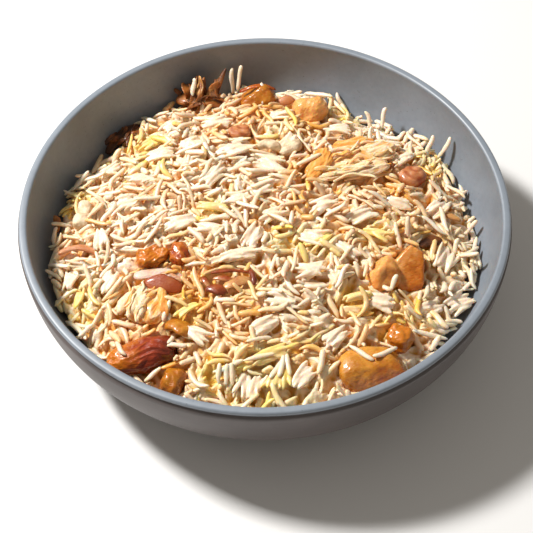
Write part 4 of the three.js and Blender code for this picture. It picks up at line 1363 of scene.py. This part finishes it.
def tangle(x, y, spread, lift, count, seed, headings, lengths, widths, rises, tones, thick=0.8):
    """Curled shreds of onion heaped round x, y."""
    random = np.random.default_rng(seed)
    strips = []
    for _ in range(count):
        reach, turn = math.sqrt(random.random()), random.uniform(0, 2 * math.pi)
        rise = random.uniform(*rises)
        size = random.uniform(*lengths)
        strips.append(dict(
            x=x + spread[0] * reach * math.cos(turn), y=y + spread[1] * reach * math.sin(turn),
            lift=lift * random.uniform(0.4, 1) + 0.42 * size * math.sin(math.radians(rise)),
            heading=random.uniform(*headings), length=size, width=random.uniform(*widths),
            thick=thick * random.uniform(0.8, 1.4), curl=random.normal(0, 60),
            arch=random.uniform(-0.5, 2), ripple=random.uniform(0.1, 0.7), twist=random.normal(0, 90),
            roll=random.uniform(-40, 40), pitch=rise, phase=random.uniform(0, 6),
            cup=random.uniform(0, 0.5), tone=random.uniform(*tones), sides=8, rings=16,
        ))
    return strips


def shaded_strips(strips):
    """Bands with a shade from 0 to 1 along each, round the band's own tone."""
    shapes = []
    shades = []
    for number, spec in enumerate(strips):
        sizes = {"phase": 1.7 * number, **spec}
        tone = sizes.pop("tone", 0.5)
        points, faces = strip(**sizes)
        shapes.append((points, faces))
        shades.append(np.clip(tone + 0.35 * noise_at(points, 5, 3 * number), 0, 1))
    return joined(shapes), np.concatenate(shades)


# Operators
class BIRYANI_OT_bowl(Operator):
    """Turn the stoneware bowl from its profile"""

    bl_idname = "biryani.bowl"
    bl_label = "Stoneware Bowl"

    def execute(self, context):
        bowl = context.scene.biryani_bowl
        profile, outside = bowl_profile()
        shape = lathed(profile, bowl.segments)
        values = {"outside": np.repeat(outside, bowl.segments)}
        dressed(mesh_object("bowl_body", *shape, stoneware(bowl), values), "bowl")
        return {"FINISHED"}


class BIRYANI_OT_chicken(Operator):
    """Carve the chicken pieces and tear the shreds"""

    bl_idname = "biryani.chicken"
    bl_label = "Chicken"

    def execute(self, context):
        skins = cooked_skins(context.scene.biryani_chicken, CHICKEN_SKINS)
        lobes = [chunk(**lobe) for lobe in CHICKEN_RIGHT]
        relief = meaty(60, 3, 0.22, 0.08)
        # painted light and shade: lighter towards the lit left, the back and the top
        painted_light_grade = (-0.32, 0.1, 0.15)
        right = fused("chicken_right_meat", lobes, relief, skins["chicken_spiced"], 0.62, painted_light_grade, voxel=0.4)
        dressed(right, "chicken_right")
        for number, (node, spec) in enumerate(CHUNKS.items()):
            name, shade, painted_light_grade, lumps = CHUNK_LOOKS[node]
            relief = meaty(spec["heading"] + 35, 11 * number + 5, lumps, 0.3 * lumps)
            piece = fused(node + "_meat", [chunk(**spec)], relief, skins[name], shade, painted_light_grade, voxel=0.45)
            dressed(piece, node)
        flake = [strip(**CHICKEN_SLIVER)]
        skin = skins["chicken_golden"]
        sliver = fused("chicken_sliver_meat", flake, meaty(-28, 91, 0.4), skin, 0.4, voxel=0.4, smooth=2)
        dressed(sliver, "chicken_sliver")
        edge = [strip(**CHICKEN_RIND)]
        relief = meaty(4, 17, 0.15)
        rind = fused("chicken_back_rind", edge, relief, skins["chicken_glazed"], voxel=0.35, smooth=2)
        dressed(rind, "chicken_back")
        lump = [chunk(**CHICKEN_DARK)]
        # painted light and shade: lighter towards the lit left end and the top
        painted_light_grade = (-0.55, 0.05, 0.1)
        dark = fused("chicken_dark_meat", lump, wrinkled(14, 21), skins["chicken_glazed"], 0.4, painted_light_grade)
        dressed(dark, "chicken_dark")
        for node, flakes in TORN_FLAKES.items():
            for number, (heading, shade, make, spec) in enumerate(flakes):
                relief = torn(heading, 60 + number)
                name = f"{node}_flake_{number + 1}"
                piece = fused(name, [make(**spec)], relief, skins["chicken_torn"], shade)
                dressed(piece, node)
            fibres = [fibre for spec in TORN_FIBRES[node] for fibre in tangle(**spec)]
            shape, shade = shaded_strips(fibres)
            piece = mesh_object(node + "_fibres", *shape, skins["chicken_torn"], {"shade": shade})
            dressed(piece, node)
        return {"FINISHED"}


class BIRYANI_OT_onion(Operator):
    """Lay the fried strips and the soft slices of onion"""

    bl_idname = "biryani.onion"
    bl_label = "Onion"

    def execute(self, context):
        skins = cooked_skins(context.scene.biryani_onion, ONION_SKINS)
        soft = skins["soft_onion"]
        for node, strips in FRIED_STRIPS.items():
            shreds = [shred for spec in TANGLES.get(node, ()) for shred in tangle(**spec)]
            shape, shade = shaded_strips(strips + shreds)
            skin = skins["glazed_onion" if node == "fried_onion_centre" else "fried_onion"]
            piece = mesh_object(node + "_strips", *shape, skin, {"shade": shade})
            dressed(piece, node)
        for node, strips in SOFT_STRIPS.items():
            shape, shade = shaded_strips(strips)
            piece = mesh_object(node + "_strips", *shape, soft, {"shade": shade})
            dressed(piece, node)
        for number, (node, spec) in enumerate(SOFT_ROUNDS.items()):
            relief = layered(spec["x"] + 2, spec["y"] + 3, 5 * number)
            piece = fused(node + "_layers", [chunk(**spec)], relief, soft, 0.35, voxel=0.35, smooth=2)
            dressed(piece, node)
        return {"FINISHED"}


class BIRYANI_OT_nuts(Operator):
    """Lay the two nuts and the bone end"""

    bl_idname = "biryani.nuts"
    bl_label = "Nuts and Bone"

    def execute(self, context):
        tone = context.scene.biryani_nuts
        shell = nut_skin("nut_skin", tone.nut, tone.fold)
        for number, (node, spec) in enumerate(NUTS.items()):
            relief = wrinkled(spec["heading"], 70 + number, 0.2)
            piece = fused(node + "_skin", [strip(**spec)], relief, shell, voxel=0.35, smooth=3)
            dressed(piece, node)
        bone = nut_skin("bone_surface", tone.bone, tone.hollow)
        lobes = [chunk(**lobe) for lobe in BONE_LOBES]
        knob = fused("bone_end_knob", lobes, meaty(80, 77, 0.4, 0.1), bone, voxel=0.35, smooth=4)
        dressed(knob, "bone_end")
        return {"FINISHED"}


class BIRYANI_OT_rice(Operator):
    """Pack the rice and lay its loose grains one by one round the toppings"""

    bl_idname = "biryani.rice"
    bl_label = "Rice"

    def execute(self, context):
        rice = context.scene.biryani_rice
        random = np.random.default_rng(RICE_SEED)
        depth = rice.bed_depth / MM
        pile = Pile(depth)
        Grains(pile, rice, random).fill(rice.packed_depth / MM)
        packed = softened(pile.rice, 1)
        finishes = self.finishes(rice)
        for kind, clumps in MATTED.items():
            sticking = [grain for number, clump in enumerate(clumps) for grain in matted(*clump, number)]
            relief = meaty(0, 7, 0.15, 0.05)
            piece = fused(f"rice_clumps_{kind}", sticking, relief, finishes[kind], 0.4, voxel=0.44)
            dressed(piece, "rice")
        for piece in list(context.scene.objects):
            if piece.type == "MESH" and "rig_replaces" in piece and piece.name != "bowl_body":
                usual = CLUMPS_COVERED if piece.name.startswith("rice") else REST_COVERED
                pile.bury(piece, COVERED.get(piece.name, usual))
        pile.heave(rice.mound_height / MM)
        grains = Grains(pile, rice, random)
        grains.fill(BED_LEVEL)
        pile.press(packed, rice.gap_depth / MM, rice.stick_depth / MM)
        points, faces = core_shape(pile, depth)
        # painted shade in the hollows of the packed rice, and its saffron and gravy stains
        values = {"shade": pile.at(pile.hollow, points[:, 0], points[:, 1]), **stains(points)}
        dressed(mesh_object("rice_core", points, faces, packed_rice(rice), values), "rice")
        grains.strew(rice.loose_count)
        for grain in LYING_GRAINS:
            grains.settle(*grain)
        for grain in STANDING_GRAINS:
            grains.stand(*grain)
        grains.strew(rice.crumb_count, CRUMB_LENGTH)
        self.dress(np.array(grains.laid), finishes, np.random.default_rng(RICE_SEED + 1))
        return {"FINISHED"}

    def finishes(self, rice):
        """The skin of each kind of grain."""
        white, cream = tuple(rice.white), tuple(rice.cream)
        saffron, gravy = tuple(rice.saffron), tuple(rice.gravy)
        return {
            "pale": rice_grain("rice_pale", white, cream, saffron, gravy),
            "saffron": rice_grain("rice_saffron", cream, saffron, saffron, gravy),
            "soaked": rice_grain("rice_soaked", cream, gravy, saffron, gravy),
        }

    def dress(self, laid, finishes, random):
        """Sorts the grains by how they are stained and how deep they lie, which is painted shade, and makes
        each kind's pieces.
        """
        yellow = stain_at(SAFFRON_PLACES, laid[:, 0], laid[:, 1])
        brown = stain_at(GRAVY_PLACES, laid[:, 0], laid[:, 1])
        # painted shade: grains lying deeper under the heap are more often soaked grains
        deep = np.clip(laid[:, DEPTH_COLUMN] / 3.5, 0, 1)
        draw = random.random(len(laid))
        kinds = np.where(draw < 0.3 * yellow + 0.03, 1, 0)
        kinds = np.where(random.random(len(laid)) < 0.12 * brown + 0.12 * deep, 2, kinds)
        kinds = np.where(laid[:, CLEAN_COLUMN] > 0, 0, kinds)
        share = MOST_FACES // (len(GRAIN_STATIONS) * GRAIN_SIDES * 2)
        for number, kind in enumerate(finishes):
            chosen = laid[kinds == number]
            for part, start in enumerate(range(0, len(chosen), share)):
                some = chosen[start:start + share]
                points, faces, under = grain_shapes(some, random)
                stride = len(points) // len(some)
                # painted shade: points lying below the heap's surface turn richer, more yellow and more
                # soaked
                below = rice_height(points[:, 0], points[:, 1]) + 1.2 - points[:, 2]
                depth_shade = np.clip(below / 4.5, 0, 1)
                own = np.repeat(random.normal(0, 0.2, len(some)), stride)
                clean = np.repeat(some[:, CLEAN_COLUMN], stride)
                rich = np.repeat(0.7 * random.beta(1.1, 2, len(some)), stride)
                values = {"shade": np.clip(rich + 0.9 * depth_shade, 0, 1)}
                for name, reach in stains(points).items():
                    stained = reach * (1 + own) + 0.15 * own + 0.3 * depth_shade ** 2
                    values[name] = np.clip(stained * (1 - 0.8 * clean), 0, 1)
                # painted shade: the underside of each grain turns towards the gravy colour
                values["soaked"] = np.clip(values["soaked"] + 0.9 * under ** 1.3, 0, 1)
                piece = mesh_object(f"rice_{kind}_{part + 1}", points, faces, finishes[kind], values)
                dressed(piece, "rice")


class BIRYANI_OT_stage(Operator):
    """Set the floor, the lights and the camera"""

    bl_idname = "biryani.stage"
    bl_label = "Stage"

    def execute(self, context):
        stage = context.scene.biryani_stage
        scene = context.scene
        self.floor(stage)
        self.key_light(stage)
        world = bpy.data.worlds.new("soft_light")
        world.use_nodes = True
        world.node_tree.nodes["Background"].inputs[0].default_value = (*stage.sky, 1)
        world.node_tree.nodes["Background"].inputs[1].default_value = stage.sky_strength
        scene.world = world
        scene.view_settings.view_transform = "Standard"
        self.camera(scene)
        return {"FINISHED"}

    def floor(self, stage):
        """A wide pale floor with a faint mottle."""
        finish = Finish("pale_floor", Roughness=0.8)
        mottle = finish.noise(0.15, 2) * 0.3
        finish.feed("Base Color", finish.blend(mottle, tuple(stage.floor), toned(stage.floor, 0.97)))
        signs = ((-1, -1), (1, -1), (1, 1), (-1, 1))
        corners = [(x * FLOOR_HALF, y * FLOOR_HALF, -FLOOR_DROP) for x, y in signs]
        mesh_object("floor", corners, [(0, 1, 2, 3)], finish.material)

    def key_light(self, stage):
        """One small lamp high at the back left."""
        lamp = bpy.data.lights.new("key", "AREA")
        lamp.energy = stage.key_power
        lamp.size = stage.key_size
        lamp.color = stage.key
        holder = bpy.data.objects.new("key", lamp)
        turn, rise = math.radians(KEY_TURN), math.radians(KEY_RISE)
        way = Vector((math.cos(turn) * math.cos(rise), math.sin(turn) * math.cos(rise), math.sin(rise)))
        holder.location = way * stage.key_distance
        holder.rotation_euler = way.to_track_quat("Z", "Y").to_euler()
        bpy.context.scene.collection.objects.link(holder)

    def camera(self, scene):
        """A long lens, half way down from overhead and level with the bowl's left to right."""
        rise, pitch = math.radians(VIEW_RISE), math.radians(VIEW_PITCH)
        yaw, roll = math.radians(VIEW_YAW), math.radians(VIEW_ROLL)
        back, above = math.cos(rise) * VIEW_DISTANCE, math.sin(rise) * VIEW_DISTANCE
        spot = Vector((0, -back, above + BOWL_HEIGHT * MM))
        down = rise + pitch
        ahead = Vector((math.sin(yaw) * math.cos(down), math.cos(yaw) * math.cos(down), -math.sin(down)))
        level = Vector((math.cos(yaw), -math.sin(yaw), 0))
        upright = level.cross(ahead)
        right = math.cos(roll) * level + math.sin(roll) * upright
        up = -math.sin(roll) * level + math.cos(roll) * upright
        camera = bpy.data.objects.new("camera", bpy.data.cameras.new("camera"))
        camera.data.lens = LENS
        camera.data.sensor_width = SENSOR_WIDTH
        camera.matrix_world = Matrix((
            (right.x, up.x, -ahead.x, spot.x),
            (right.y, up.y, -ahead.y, spot.y),
            (right.z, up.z, -ahead.z, spot.z),
            (0, 0, 0, 1),
        ))
        scene.collection.objects.link(camera)
        scene.camera = camera


OPERATORS = (
    BIRYANI_OT_bowl,
    BIRYANI_OT_chicken,
    BIRYANI_OT_onion,
    BIRYANI_OT_nuts,
    BIRYANI_OT_rice,
    BIRYANI_OT_stage,
)
SETTINGS = {
    "biryani_bowl": BowlSettings,
    "biryani_rice": RiceSettings,
    "biryani_chicken": ChickenSettings,
    "biryani_onion": OnionSettings,
    "biryani_nuts": NutSettings,
    "biryani_stage": StageSettings,
}


class BIRYANI_PT_sidebar(Panel):
    """The steps of the bowl of biryani, with their sizes and colours"""

    bl_label = "Bowl of Biryani"
    bl_space_type = "VIEW_3D"
    bl_region_type = "UI"
    bl_category = "Biryani"

    def draw(self, context):
        for operator in OPERATORS:
            self.layout.operator(operator.bl_idname)
        for name, settings in SETTINGS.items():
            box = self.layout.box()
            for key in settings.__annotations__:
                box.prop(getattr(context.scene, name), key)


def register():
    for kind in (*SETTINGS.values(), *OPERATORS, BIRYANI_PT_sidebar):
        bpy.utils.register_class(kind)
    for name, settings in SETTINGS.items():
        setattr(bpy.types.Scene, name, PointerProperty(type=settings))


def unregister():
    for name in SETTINGS:
        delattr(bpy.types.Scene, name)
    for kind in (BIRYANI_PT_sidebar, *reversed(OPERATORS), *SETTINGS.values()):
        bpy.utils.unregister_class(kind)


def main():
    register()
    bpy.ops.biryani.bowl()
    bpy.ops.biryani.chicken()
    bpy.ops.biryani.onion()
    bpy.ops.biryani.nuts()
    bpy.ops.biryani.rice()
    bpy.ops.biryani.stage()


if __name__ == "__main__":
    main()
